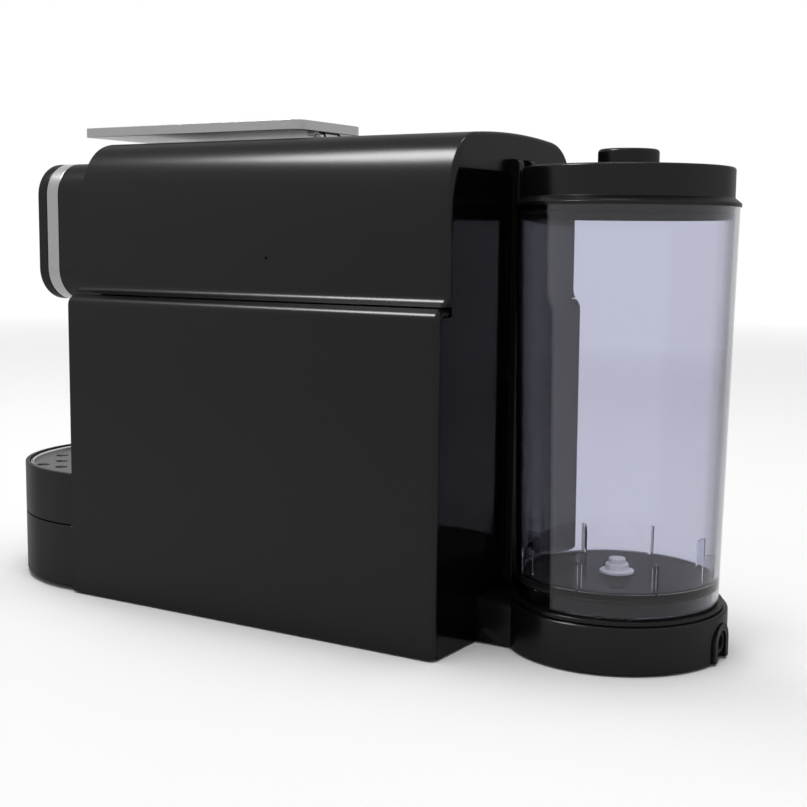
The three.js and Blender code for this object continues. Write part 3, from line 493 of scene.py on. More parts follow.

# %% [markdown]
# The tank is a clear moulded plastic with a faint blue tint. Light crosses two walls, so the tint
# is light on each. Where a wall is seen aslant its colour turns nearly black: partly the deeper
# tint of a longer way through it, partly painted shade for the dark edges that the bent view shows.
# The floor of the tank gets a dark matte veil, painted shade, over everything within a radius of
# the tank's axis and below a height.

# %% Clear plastic
TANK_Y, SHADED_FLOOR_RADIUS, SHADED_FLOOR_TOP = 56.0, 44.6, 35.2
TANK_AXIS = (0, REAR + TANK_Y * MM, 0)
clear = Finish("clear_plastic", Transmission_Weight=1.0, IOR=1.38)
flow = clear.noise(18, 1.0, (1, 1, 0.2))
# Partly painted shade: the colour darkens to nearly black where the wall is seen aslant.
slant = clear.aslant(0.4, 0.8) * 0.9
tint = clear.blend(flow, shade(0.70, 0.705, 0.79), shade(0.71, 0.715, 0.80))
clear.feed(
    Base_Color=clear.blend(slant, tint, shade(0.05, 0.05, 0.06)),
    Roughness=0.004 + flow * 0.006,
)
clear.relief(flow, 0.00002, 0.2)
# Painted shade: a dark matte veil over the tank's floor, within a radius of its axis and below a
# height.
height = clear.node("SeparateXYZ", {}, {0: clear.place()}).outputs["Z"]
sockets = {0: clear.place((1, 1, 0)), 1: TANK_AXIS}
from_axis = clear.node("VectorMath", {"operation": "DISTANCE"}, sockets)
inner = Varying(clear, from_axis.outputs["Value"]) < SHADED_FLOOR_RADIUS * MM
low = Varying(clear, height) < SHADED_FLOOR_TOP * MM
clear.veil(inner * low * 0.74, shade(0.025))
clear_plastic = clear.material
print("made", clear_plastic.name)

# %% [markdown]
# Metals: the lever is a brushed plate, the band on the head a soft bright trim, and the grid of the
# drip tray is punched from brushed steel. Brushing is noise stretched along one axis. The faces of
# the lever that look down get a grey matte veil: painted light standing in for how its underside is
# lit. On the grid, the faces that are not level (rims, bead and hole walls) get a bright colour, a
# painted highlight, and its level top gets a dark matte veil, painted shade.

# %% Brushed and plain metals
LEVEL = 0.97


def brushed(name, tone, rough, along="y", spread=0.12, depth=0.00003, edge=None):
    finish = Finish(name)
    stretch = {"x": (0.02, 1, 1), "y": (1, 0.02, 1), "z": (1, 1, 0.02)}[along]
    lines = finish.noise(2200, 2.0, stretch)
    cloud = finish.noise(25, 3.0)
    dark = tuple(v * (1 - spread) for v in tone)
    colour = finish.blend(lines, shade(*dark), shade(*tone))
    if edge:
        # On the grid, the edge colour on faces that are not level is a painted highlight.
        colour = finish.blend(finish.upright() < LEVEL, colour, shade(*edge))
    finish.feed(
        Base_Color=colour,
        Roughness=rough + lines * 0.08 + cloud * 0.03,
        Metallic=0.97 + cloud * 0.03,
    )
    return finish.relief(lines, depth, 0.3)


lever_finish = brushed("lever_metal", (0.34, 0.34, 0.34), 0.18)
# Painted light: the lever's downward faces get a grey matte veil.
lever_finish.veil((lever_finish.upright() < -0.3) * 0.28, shade(0.3))
lever_metal = lever_finish.material
silver_trim = brushed("silver_trim", (0.33, 0.33, 0.33), 0.2, "x", 0.04).material
# Painted highlight on the grid's rims and hole walls through the edge colour; painted shade on its
# level top through the dark veil.
grid_finish = brushed("grid_steel", (0.05, 0.05, 0.05), 0.25, "x", edge=(0.6, 0.6, 0.6))
grid_finish.veil((grid_finish.upright() > LEVEL) * 0.36, shade(0.03))
grid_steel = grid_finish.material
steel = brushed("steel", (0.42, 0.42, 0.43), 0.25, "x").material
cast_metal = brushed("cast_metal", (0.36, 0.36, 0.37), 0.45, "z", 0.25, 0.0001).material
print("made", [m.name for m in (lever_metal, silver_trim, grid_steel, steel, cast_metal)])

# %% [markdown]
# The working plastics and rubbers inside are plainer mouldings. They still show grain, a slight
# change of tone, and a different gloss for each kind.

# %% Moulded plastics and rubbers
def moulded(name, tone, rough, grain_size=1800, mottle=0.12, depth=0.00004, **constants):
    finish = Finish(name, **constants)
    grain = finish.noise(grain_size, 2.0)
    cloud = finish.noise(30, 3.0)
    dark = tuple(v * (1 - mottle) for v in tone)
    finish.feed(
        Base_Color=finish.blend(cloud, shade(*dark), shade(*tone)),
        Roughness=rough - 0.03 + grain * 0.06,
    )
    return finish.relief(grain, depth, 0.3).material


inner_plastic = moulded("inner_plastic", (0.04, 0.042, 0.045), 0.5)
grey_plastic = moulded("grey_plastic", (0.27, 0.28, 0.29), 0.4)
white_plastic = moulded("white_plastic", (0.92, 0.92, 0.92), 0.35, mottle=0.02)
rubber = moulded("rubber", (0.006, 0.006, 0.006), 0.7, 900, depth=0.0001, Specular_IOR_Level=0.15)
pump_case = moulded("pump_case", (0.2, 0.2, 0.205), 0.45, 700, depth=0.0001)
silicone_tube = moulded(
    "silicone_tube", (0.62, 0.62, 0.58), 0.35, mottle=0.06, Subsurface_Weight=0.1)
mouldings = (inner_plastic, grey_plastic, white_plastic, rubber, pump_case, silicone_tube)
print("made", [m.name for m in mouldings])

# %% [markdown]
# A circuit board is green lacquer over copper tracks. The tracks are thin lines between two
# stretched grids, and the pads are small round spots of solder.

# %% Circuit board
board = Finish("circuit_board")
upright_face = board.place(turn=(math.pi / 2, 0, math.pi / 2))
sockets = {"Vector": upright_face, "Scale": 90.0, "Mortar Size": 0.03}
tracks = board.node("TexBrick", {"offset": 0.5}, sockets)
tracks_mask = Varying(board, tracks.outputs["Fac"])
spots = board.node("TexVoronoi", {}, {"Vector": board.place(), "Scale": 260.0})
pads = Varying(board, spots.outputs["Distance"]) < 0.16
lacquer = board.blend(tracks_mask, shade(0.012, 0.10, 0.04), shade(0.03, 0.2, 0.08))
board.feed(
    Base_Color=board.blend(pads, lacquer, shade(0.55, 0.55, 0.56)),
    Roughness=0.5 - pads * 0.25,
    Metallic=pads,
)
board.relief(tracks_mask * 0.4 + pads, 0.0001, 0.4)
circuit_board = board.material
print("made", circuit_board.name)

# %% [markdown]
# ## Upper cover
# The cover is one long moulding: a crowned top, tight shoulders, upright sides, and a foot that
# flares out in a small hollow and a short slope. Its section is drawn past the seam, so that the
# seam can be sliced flat through the rounded ends. Lofting or sculpting would lose the even line
# of the shoulder.

# %% Section of the cover
COVER_HALF, BODY_HALF, BODY_TOP, BODY_FRONT = 65.1, 74.4, 240.0, -224.0
FLARE, FLARE_ANGLE, SKIRT, SHELL_WALL = 5.1, 56.0, 6, 2.8
SEAM_LOW, SEAM_HIGH = 159.2, 160.0
PARTING = (SEAM_LOW + SEAM_HIGH) / 2
slope_x, slope_z = math.sin(math.radians(FLARE_ANGLE)), math.cos(math.radians(FLARE_ANGLE))
slope_run = (BODY_HALF - COVER_HALF - 2 * FLARE * (1 - slope_z)) / slope_x
seam_x = (COVER_HALF + BODY_HALF) / 2


def cover_top(inset):
    """Right half of the section, from the upright side up to the middle of the crown.

    Its points are measured inwards from the side and down from the crown. The inner wall lies
    an inset further in, and there the shoulder curls a little less.
    """
    side, crown = COVER_HALF - inset, BODY_TOP - inset
    shoulder = (side - 3.9, BODY_TOP - 20.5 - inset * 0.3)
    brow = (side - 27.1 + inset * 0.9, crown - 1.6)
    rise = bend((side, BODY_TOP - 50), (side, BODY_TOP - 32.6), shoulder, steps=14)
    upper_pull = (side - 15.1 + inset * 0.6, crown - 2.4)
    curl = bend(shoulder, (side - 7.6 + inset * 0.2, crown - 9), upper_pull, brow, steps=26)
    over = bend(brow, (0, crown + 1.6), (-brow[0], brow[1]), steps=16)
    return rise + curl[1:] + over[1:9]


def both_halves(half):
    """Closes a right half, from foot to crown, with its own mirror."""
    return half + [(-x, z) for x, z in reversed(half) if x > 1e-6]


def cover_half():
    skirt_x, skirt_z = seam_x + SKIRT * slope_x, PARTING - SKIRT * slope_z
    flare_z = PARTING + slope_run / 2 * slope_z + FLARE * slope_x
    flare = arc(COVER_HALF + FLARE, flare_z, FLARE, 180 + FLARE_ANGLE, 180, 10)
    return [(skirt_x, skirt_z - SKIRT), (skirt_x, skirt_z)] + flare + cover_top(0)


print("crown of the cover, mm:", round(max(z for _, z in cover_half()), 2))

# %% Cover shell
REAR_ROUND, FRONT_ROUND, SEAM_ROUND = (2.4, 5), (1.0, 4), (0.25, 2)
REAR_BAND = 18.5
cover = bar("cover_shell", both_halves(cover_half()), "y", BODY_FRONT, 0)
round_edges(cover, *REAR_ROUND, flat_at("y", 0))
round_edges(cover, *FRONT_ROUND, flat_at("y", BODY_FRONT))
slice_off(cover, spot(0, 0, SEAM_HIGH), (0, 0, -1))
round_edges(cover, *SEAM_ROUND, flat_at("z", SEAM_HIGH))
inner_half = [(COVER_HALF - SHELL_WALL, PARTING - 20)] + cover_top(SHELL_WALL)
cavity = bar("cavity", both_halves(inner_half), "y", BODY_FRONT + SHELL_WALL, -SHELL_WALL)
rear_way = bar("rear_way", both_halves(inner_half), "y", -SHELL_WALL - 1, 1)
slice_off(rear_way, spot(0, 0, BODY_TOP - REAR_BAND), (0, 0, 1))
carve(cover, cavity, rear_way)
print("cover faces:", len(cover.data.polygons))

# %% [markdown]
# The cover is pierced for the lever's hinge and its gear, for the pod, for the passage into the
# head, and by one pinhole in its right side. A shallow groove lets the lever's heel dip as the
# lever is raised.

# %% Openings in the cover
PIVOT_Y, SLOT_END, HEEL_DIP = -110.7, 4.4, 0.9
BREW_FRONT, TRAVEL, POD_SLOT = -204.5, 22.72, 20.5
PIN_Y, PIN_Z, PIN = -101, 180, 0.7
over_top = (BODY_TOP - 7, BODY_TOP + 3)
pod_outline = rounded(-POD_SLOT, BREW_FRONT - 0.5, POD_SLOT, BREW_FRONT + TRAVEL - 0.5, 3)
pod_slot = bar("pod_slot", pod_outline, "z", *over_top)
hinge_slot = block(-11, 11, PIVOT_Y - SLOT_END, PIVOT_Y + SLOT_END, *over_top)
gear_slot = block(-4, 4, PIVOT_Y - 15.5, PIVOT_Y + SLOT_END, *over_top)
heel_groove = block(
    -31, 31, PIVOT_Y + 1.5, PIVOT_Y + SLOT_END + 0.5, BODY_TOP - HEEL_DIP, BODY_TOP + 3)
head_way = rounded(-48, 165, 48, 221, 12)
passage = bar("passage", head_way, "y", BODY_FRONT - 1, BODY_FRONT + SHELL_WALL + 1)
pinhole = rod("x", PIN_Y, PIN_Z, PIN, COVER_HALF - 5.1, COVER_HALF + 1.9, 24)
carve(cover, weld(hinge_slot, gear_slot), heel_groove, pod_slot, passage, pinhole)
print("cover faces with openings:", len(cover.data.polygons))

# %% [markdown]
# ## Dressing a piece
# A finished piece is smoothed, gets the finish of the slot that is named for it, rides on its body,
# and hides the solid that it stands for.

# %% Dress
FINISH_OF_SLOT = dict(
    satin_black=satin_black, gloss_black=gloss_black, clear_plastic=clear_plastic, steel=steel,
    lever_metal=lever_metal, silver_trim=silver_trim, grid_steel=grid_steel, rubber=rubber,
    cast_metal=cast_metal, inner_plastic=inner_plastic, grey_plastic=grey_plastic,
    white_plastic=white_plastic, pump_case=pump_case, silicone_tube=silicone_tube,
    circuit_board=circuit_board,
)


def dress(piece, body, slot, node):
    smooth(piece)
    piece.data.materials.clear()
    piece.data.materials.append(FINISH_OF_SLOT[slot])
    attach(piece, body)
    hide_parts(node)
    triangles = sum(len(face.vertices) - 2 for face in piece.data.polygons)
    print(piece.name, "triangles:", triangles)


dress(cover, "body", "satin_black", "upper_cover")

# %% [markdown]
# ## Side shells
# Each side is a wide flat moulding whose top turns inwards and carries on the slope of the
# cover's foot, and whose front edge wraps round the corner. It is drawn wider than it is, rounded
# at both ends, and then sliced upright, so that the round dies into the slice as in a mould.

# %% Side shells
TABLE_GAP = 1
shoulder_base = PARTING - slope_run / 2 * slope_z - FLARE * slope_x


def shell_half(inset, low, high):
    curve = arc(BODY_HALF - FLARE, shoulder_base, FLARE - inset, 0, FLARE_ANGLE, 7)
    rise = high - curve[-1][1]
    return [(BODY_HALF - inset, low)] + curve + [(curve[-1][0] - rise * slope_x / slope_z, high)]


shell_outline = both_halves(shell_half(0, TABLE_GAP, SEAM_LOW))
right_shell = bar("side_shell_right_moulding", shell_outline, "y", BODY_FRONT, 0)
round_edges(right_shell, *REAR_ROUND, flat_at("y", 0))
round_edges(right_shell, *FRONT_ROUND, flat_at("y", BODY_FRONT))
slice_off(right_shell, spot(COVER_HALF, 0, 0), (-1, 0, 0))
round_edges(right_shell, *SEAM_ROUND, flat_at("z", SEAM_LOW))
hollow = both_halves(shell_half(SHELL_WALL, -4, SEAM_LOW - SHELL_WALL))
carve(right_shell, bar("hollow", hollow, "y", BODY_FRONT + SHELL_WALL, 1))
left_shell = mirror(right_shell, "side_shell_left_moulding")
for piece, node in ((right_shell, "side_shell_right"), (left_shell, "side_shell_left")):
    dress(piece, "body", "satin_black", node)

# %% [markdown]
# ## Guide ribs
# Two upright ribs on the rear face guide the tank as it is set down. Each is a thin fin with two
# long windows sunk in its outer side.

# %% Guide ribs
RIB_TOP, RIB_BOTTOM, RIB_OUT, RIB_ROUND = 227.6, 23.5, 5.3, 2.8
RIB_INNER, RIB_OUTER, WINDOW_DEPTH = 4, 9.1, 2.5
rib_side = (
    [(0.3, RIB_BOTTOM), (RIB_OUT, RIB_BOTTOM)]
    + arc(RIB_OUT - RIB_ROUND, RIB_TOP - RIB_ROUND, RIB_ROUND, 0, 90, 8)
    + [(0.3, RIB_TOP)]
)


def off_the_panel(middle, edge):
    return middle.y > 0.5 and (near(middle.x, RIB_INNER) or near(middle.x, RIB_OUTER))


rib = bar("guide_rib_right_fin", rib_side, "x", RIB_INNER, RIB_OUTER)
round_edges(rib, 0.35, 2, off_the_panel)
window_low, window_high = RIB_BOTTOM + 9.6, RIB_TOP - 8.2
rib_middle = (window_high + window_low) / 2
carve(rib, *(rod("x", 2.6, height, 0.8, 8, 10, 16) for height in (RIB_TOP - 4, rib_middle)))
for low, high in ((window_low, rib_middle - 3.6), (rib_middle + 3.6, window_high)):
    carve(rib, block(RIB_OUTER - WINDOW_DEPTH, 11, -0.7, RIB_OUT - 1.5, low, high))
left_rib = mirror(rib, "guide_rib_left_fin")
for piece, node in ((rib, "guide_rib_right"), (left_rib, "guide_rib_left")):
    dress(piece, "body", "satin_black", node)

# %% [markdown]
# ## Base: floor, posts, neck and plinth
# One moulding carries everything. Inside the body it is a thin floor with posts. Behind the
# body a low neck leads to the round plinth under the tank, and an arch in the plinth's rear
# lets the cord out.

# %% Plinth, neck, floor and posts
PLINTH, PLINTH_TOP, PLINTH_ROUND = 51.6, 22.2, 1.6
NECK_HALF, NECK_ROUND, NECK_FRONT = 35.3, 4, -5.7
POST_X, POST_HALF, FLOOR_TOP, DECK_BOTTOM = 58.0, 4, 3.5, 153.0
base_profile = (
    [(0, TABLE_GAP), (PLINTH - 0.4, TABLE_GAP), (PLINTH, TABLE_GAP + 0.4)]
    + arc(PLINTH - PLINTH_ROUND, PLINTH_TOP - PLINTH_ROUND, PLINTH_ROUND, 0, 90, 6)
    + [(0, PLINTH_TOP)]
)
base = turned_piece("base_moulding", base_profile, 0, TANK_Y, 128)
corner_x, corner_z = NECK_HALF - NECK_ROUND, PLINTH_TOP - NECK_ROUND
neck_outline = (
    [(-NECK_HALF, TABLE_GAP), (NECK_HALF, TABLE_GAP)]
    + arc(corner_x, corner_z, NECK_ROUND, 0, 90, 8)
    + arc(-corner_x, corner_z, NECK_ROUND, 90, 180, 8)
)
weld(
    base,
    bar("neck", neck_outline, "y", NECK_FRONT, TANK_Y - 30),
    block(3.1 - BODY_HALF, BODY_HALF - 3.1, BODY_FRONT + 3.1, -2.7, TABLE_GAP, FLOOR_TOP),
)
for x in (-POST_X, POST_X):
    for y in (-30, -150):
        sides = (x - POST_HALF, x + POST_HALF, y - POST_HALF, y + POST_HALF)
        weld(base, block(*sides, 1.5, DECK_BOTTOM - 0.3))
print("base faces:", len(base.data.polygons))

# %% Cord arch, hollow underside and foot sockets
ARCH, ARCH_RIM, ARCH_Z, BASE_WALL = 5.4, 8.8, 9.2, 3
FOOT, HOSE_Y, REAR_FOOT_Y = 7, TANK_Y - 14, TANK_Y + 30
FEET = [(-POST_X, -25), (POST_X, -25), (-POST_X, -198), (POST_X, -198), (0, REAR_FOOT_Y)]
plinth_rear, hollow_top = TANK_Y + PLINTH, PLINTH_TOP - BASE_WALL
arch_rim = [(-ARCH_RIM, TABLE_GAP), (ARCH_RIM, TABLE_GAP)] + arc(0, ARCH_Z, ARCH_RIM, 0, 180, 24)
weld(base, bar("arch_rim", arch_rim, "y", plinth_rear - 4, plinth_rear + 0.6))
neck_in = NECK_HALF - BASE_WALL
underside = weld(
    rod("z", 0, TANK_Y, PLINTH - BASE_WALL, -1, hollow_top, 64),
    block(-neck_in, neck_in, NECK_FRONT - 1, TANK_Y - 20, -1, hollow_top),
)
carve(underside, rod("z", 0, REAR_FOOT_Y, FOOT + 2, -2, PLINTH_TOP))
arch_outline = [(-ARCH, -1), (ARCH, -1)] + arc(0, ARCH_Z, ARCH, 0, 180, 24)
arch_hole = bar("arch_hole", arch_outline, "y", plinth_rear - 8, plinth_rear + 2)
carve(base, underside, arch_hole, rod("z", 0, HOSE_Y, 4, -1, PLINTH_TOP + 1))
for x, y in FEET:
    carve(base, rod("z", x, y, FOOT + 0.3, -1, 2.5))
dress(base, "body", "satin_black", "chassis")

# %% [markdown]
# The feet are five rubber pucks. One is turned, and each foot is a copy of it, moved to its place.

# %% Feet
FOOT_HIGH, FOOT_ROUND = 2.2, 0.8
foot_profile = (
    [(0, 0), (FOOT - FOOT_ROUND, 0)]
    + arc(FOOT - FOOT_ROUND, FOOT_ROUND, FOOT_ROUND, -90, 0, 4)
    + [(FOOT, FOOT_HIGH), (0, FOOT_HIGH)]
)
puck = turned_piece("puck", foot_profile, 0, 0, 48)
for number, (x, y) in enumerate(FEET, 1):
    foot = copy_of(puck, f"foot_{number}_puck")
    enter(foot)
    bpy.ops.transform.translate(value=spot(x, y, 0) - spot(0, 0, 0))
    dress(foot, "body", "rubber", f"foot_{number}")
bpy.data.objects.remove(puck)

# %% [markdown]
# ## Tank seat
# The tank stands on a shallow turned seat: a low rim carries its foot, and a hollow boss in the
# middle holds the peg that pushes its valve open.

# %% Tank seat
SEAT, SEAT_ROUND, SEAT_RIM_OUT, SEAT_RIM_IN, SEAT_RIM_TOP = 49.4, 0.6, 46.7, 42.2, 24.7
BOSS_OUT, BOSS_IN, BOSS_TOP, PEG, PEG_TOP = 10, 7, 30, 1.4, 28.5
seat_base = PLINTH_TOP + 0.3
seat_top, boss_floor = seat_base + 1.8, seat_base + 2.4
seat_profile = (
    [(0, seat_base), (SEAT, seat_base), (SEAT, seat_top - SEAT_ROUND)]
    + arc(SEAT - SEAT_ROUND, seat_top - SEAT_ROUND, SEAT_ROUND, 0, 90, 4)
    + [(SEAT_RIM_OUT, seat_top), (SEAT_RIM_OUT, SEAT_RIM_TOP)]
    + [(SEAT_RIM_IN, SEAT_RIM_TOP), (SEAT_RIM_IN, seat_top)]
    + [(BOSS_OUT, seat_top), (BOSS_OUT, BOSS_TOP), (BOSS_IN, BOSS_TOP), (BOSS_IN, boss_floor)]
    + [(PEG, boss_floor), (PEG, PEG_TOP - 0.3), (PEG - 0.3, PEG_TOP), (0, PEG_TOP)]
)
seat = turned_piece("tank_seat_ring", seat_profile, 0, TANK_Y, 128)
carve(seat, rod("z", 0, HOSE_Y, 2, seat_base - 1, seat_base + 5))
dress(seat, "body", "satin_black", "tank_seat")

# %% [markdown]
# ## Head
# The head is a flat drum with rounded corners in three layers: a black body, a bright band, and
# a black cap whose edge is rounded. The layers share one outline and differ in depth.

# %% Head body and band
HEAD_HALF, HEAD_LOW, HEAD_HIGH, HEAD_CORNER, HEAD_WALL = 55.7, 155.0, 228.5, 17.3, 2.4
BODY_DEPTH, BAND_DEPTH, BAND_WALL, CAP_DEPTH = 24.4, 8.6, 4, 7.3
band_rear = BODY_FRONT - BODY_DEPTH
cap_rear = band_rear - BAND_DEPTH
cap_front = cap_rear - CAP_DEPTH
SPOUT_Y, SPOUT = BODY_FRONT - 15.5, 7.8


def head_outline(inset):
    return rounded(
        -HEAD_HALF + inset, HEAD_LOW + inset, HEAD_HALF - inset, HEAD_HIGH - inset,
        HEAD_CORNER - inset, 14)


def head_ring(name, front, rear, wall):
    ring = bar(name, head_outline(0), "y", front, rear)
    round_edges(ring, 0.35, 2, flat_at("y", front, rear))
    return carve(ring, bar("hollow", head_outline(wall), "y", front - 1, rear + 1))


head_body = head_ring("head_body_ring", band_rear + 0.3, BODY_FRONT - 0.3, HEAD_WALL)
carve(head_body, rod("z", 0, SPOUT_Y, SPOUT, HEAD_LOW - 1, HEAD_LOW + 5))
head_band = head_ring("head_band_ring", cap_rear + 0.3, band_rear, BAND_WALL)
dress(head_body, "body", "satin_black", "head_body")
dress(head_band, "body", "silver_trim", "head_band")

# %% Head cap
BUTTON_X, BUTTON_Z, BUTTON = 14.0, 203.0, 8.0
SCREWS = [(x, z) for x in (-27, 27) for z in (190, 216)]
cap = bar("head_cap_shell", head_outline(0), "y", cap_front, cap_rear)
round_edges(cap, 2.0, 6, flat_at("y", cap_front))
round_edges(cap, 0.3, 2, flat_at("y", cap_rear))
hollow = head_outline(HEAD_WALL)
carve(cap, bar("hollow", hollow, "y", cap_front + HEAD_WALL, cap_rear + 1))
weld(cap, *(rod("y", x, z, 2.5, cap_front + 1, cap_rear - 0.7, 24) for x, z in SCREWS))
for x in (-BUTTON_X, BUTTON_X):
    carve(cap, rod("y", x, BUTTON_Z, BUTTON + 0.3, cap_front - 1, cap_rear, 64))
dress(cap, "body", "satin_black", "head_cap")

# %% [markdown]
# The two buttons are round pads with a soft edge. Each is dished a little for the fingertip, by
# an inset of its face that is moved in.

# %% Buttons
def button(name, x):
    front = cap_front - 0.6
    pad = rod("y", x, BUTTON_Z, BUTTON, front, cap_front + 3.2, 64)
    pad.name = pad.data.name = name
    round_edges(pad, 0.6, 3, flat_at("y", front))
    choose(pad, "FACE", lambda middle, face: near(middle.y, front) and face.normal.y < -0.9)
    bpy.ops.mesh.inset(thickness=1.2 * MM, depth=0)
    bpy.ops.mesh.inset(thickness=1.5 * MM, depth=-0.25 * MM)
    bpy.ops.object.mode_set(mode="OBJECT")
    weld(pad, rod("y", x, BUTTON_Z, BUTTON + 1.4, cap_front + 2.7, cap_front + 3.7, 64))
    return pad


for cup, x in (("short", -BUTTON_X), ("long", BUTTON_X)):
    pad = button(f"button_{cup}_pad", x)
    dress(pad, f"{cup}_button", "grey_plastic", f"button_{cup}")

# %% [markdown]
# ## Lever
# The lever is a long plate lying just above the cover, with round corners at its heel and
# tighter ones at its nose. All its edges are softened, because a hand lifts it.

# %% Lever plate
LEVER_HALF, LEVER_REAR, LEVER_FRONT = 29.5, -107.6, -252.8
LEVER_LOW, LEVER_THICK, NOSE, HEEL = 243.5, 5.1, 1.5, 7.0
LEVER_HIGH = LEVER_LOW + LEVER_THICK
lever_outline = (
    arc(LEVER_HALF - NOSE, LEVER_FRONT + NOSE, NOSE, -90, 0, 4)
    + arc(LEVER_HALF - HEEL, LEVER_REAR - HEEL, HEEL, 0, 90, 14)
    + arc(HEEL - LEVER_HALF, LEVER_REAR - HEEL, HEEL, 90, 180, 14)
    + arc(NOSE - LEVER_HALF, LEVER_FRONT + NOSE, NOSE, 180, 270, 4)
)
lever = bar("lever_bar", lever_outline, "z", LEVER_LOW, LEVER_HIGH)
round_edges(lever, 0.35, 3, flat_at("z", LEVER_LOW, LEVER_HIGH))
dress(lever, "lever", "lever_metal", "lever_plate")

# %% [markdown]
# ## Drip tray
# The tray is a round cup with a flat back, in two tiers: a base that slides out with the pod bin,
# and the drip tray that stands in it. A perforated steel grid lies just inside the rim.

# %% Tray base
TRAY, TRAY_Y, TRAY_TOP, TRAY_SPLIT, TRAY_LIFT = 72.4, -231.6, 63.8, 35.8, 2.3
TRAY_REAR, TRAY_WALL = BODY_FRONT - 0.4, 2.4
base_top = TRAY_SPLIT - 0.3


def tray_outline(inset):
    radius = TRAY - inset
    angle = math.degrees(math.asin((TRAY_REAR - inset - TRAY_Y) / radius))
    return arc(0, TRAY_Y, radius, 180 - angle, 360 + angle, 96)


tray_base = bar("tray_base_cup", tray_outline(0), "z", TRAY_LIFT, base_top)
round_edges(tray_base, 1.0, 4, flat_at("z", TRAY_LIFT))
round_edges(tray_base, 0.5, 3, flat_at("z", base_top))
carve(tray_base, bar("hollow", tray_outline(TRAY_WALL), "z", TRAY_LIFT + TRAY_WALL, TRAY_SPLIT + 1))
bin_shelf = block(-45, 45, TRAY_REAR - 4, BODY_FRONT + 95, 4.4, 6.6)
weld(tray_base, bin_shelf)
dress(tray_base, "drawer", "satin_black", "tray_base")

# %% Drip tray
GRID_TOP, GRID_THICK, GRID_INSET = TRAY_TOP - 2.2, 1.6, 2.7
tray_low, ledge = TRAY_SPLIT + 0.2, GRID_TOP - GRID_THICK - 0.3
tray = bar("drip_tray_cup", tray_outline(0), "z", tray_low, TRAY_TOP)
round_edges(tray, 0.7, 4, flat_at("z", TRAY_TOP))
round_edges(tray, 0.5, 3, flat_at("z", tray_low))
carve(tray, bar("hollow", tray_outline(TRAY_WALL + 2), "z", tray_low + TRAY_WALL, TRAY_TOP + 1))
carve(tray, bar("rebate", tray_outline(TRAY_WALL), "z", ledge, TRAY_TOP + 1))
dress(tray, "tray", "satin_black", "drip_tray")

# %% [markdown]
# The grid is a thin plate with rows of round holes. The rim of each hole is rolled over, which a
# bevel of its upper edge shows, and a raised bead stiffens the plate's own edge.

# %% Drip grid
HOLE, PITCH, FIRST_ROW = 3.6, 14.2, TRAY_Y - 53
HOLE_REACH = TRAY - GRID_INSET - 6.2
grid = bar("drip_grid_plate", tray_outline(GRID_INSET), "z", GRID_TOP - GRID_THICK, GRID_TOP)
round_edges(grid, 0.3, 2, flat_at("z", GRID_TOP))
holes = 0
for row in range(5):
    for column in range(-5, 5):
        x, y = (column + 0.5) * PITCH, FIRST_ROW + row * PITCH
        if math.hypot(x, y - TRAY_Y) < HOLE_REACH and y < TRAY_REAR - HOLE - 2:
            carve(grid, rod("z", x, y, HOLE, GRID_TOP - 3, GRID_TOP + 1, 32))
            holes += 1


def at_a_hole(middle, edge):
    return near(middle.z, GRID_TOP) and math.hypot(middle.x, middle.y - TRAY_Y) < TRAY - 6


round_edges(grid, 0.9, 3, at_a_hole)
BEAD_TOP = GRID_TOP + 1.5
bead = bar("bead", tray_outline(GRID_INSET + 0.1), "z", GRID_TOP - 1, BEAD_TOP)
carve(bead, bar("hollow", tray_outline(GRID_INSET + 1.9), "z", GRID_TOP - 2, BEAD_TOP + 1.5))
round_edges(bead, 0.6, 3, flat_at("z", BEAD_TOP))
weld(grid, bead)
dress(grid, "grid", "grid_steel", "drip_grid")
print("holes in the grid:", holes)

# %% [markdown]
# ## Water tank
# The tank is a tall cup, slightly wider at the rim, turned as one closed wall so that light is
# bent twice as it crosses. Eight small blades stand round its floor.

# %% Tank wall
TANK_FOOT, TANK_RIM, TANK_WALL, DRAIN = 47.2, 50.4, 2.0, 4.6
TANK_LOW, TANK_FLOOR, TANK_HIGH = 25.0, 34.6, 205.9


def tank_at(z):
    """Outer radius of the tapered wall at a height."""
    return TANK_FOOT + (TANK_RIM - TANK_FOOT) * (z - TANK_LOW) / (TANK_HIGH - TANK_LOW)


inside = tank_at(TANK_FLOOR) - TANK_WALL
floor_low = TANK_FLOOR - 2.4
foot_edge, rim_edge = TANK_LOW + 0.4, TANK_HIGH - 0.4
wall_profile = (
    [(tank_at(foot_edge), foot_edge), (tank_at(rim_edge), rim_edge)]
    + [(TANK_RIM - 0.4, TANK_HIGH), (TANK_RIM - TANK_WALL + 0.4, TANK_HIGH)]
    + [(tank_at(rim_edge) - TANK_WALL, rim_edge)]
    + arc(inside - 2.5, TANK_FLOOR + 2.5, 2.5, 0, -90, 6)
    + [(DRAIN, TANK_FLOOR), (DRAIN, floor_low)]
    + [(tank_at(floor_low) - 3.4, floor_low), (tank_at(floor_low) - 2.4, floor_low - 1)]
    + [(tank_at(foot_edge) - 2.4, foot_edge)]
    + [(TANK_FOOT - TANK_WALL, TANK_LOW), (TANK_FOOT - 0.4, TANK_LOW)]
)
tank = turned_piece("water_tank_cup", wall_profile + wall_profile[:1], 0, TANK_Y, 128)
print("tank radius at foot and rim, mm:", TANK_FOOT, TANK_RIM)

# %% Blades in the tank
BLADES, BLADE_HALF = 8, 0.75
blade_in, blade_root, blade_top = inside - 4.2, inside + 0.6, TANK_FLOOR + 14.2
blade_profile = (
    [(blade_in, TANK_FLOOR - 0.5), (blade_root, TANK_FLOOR - 0.5), (blade_root, blade_top)]
    + bend((inside - 1, blade_top), (blade_in, blade_top), (blade_in, blade_top - 4), steps=6)
)


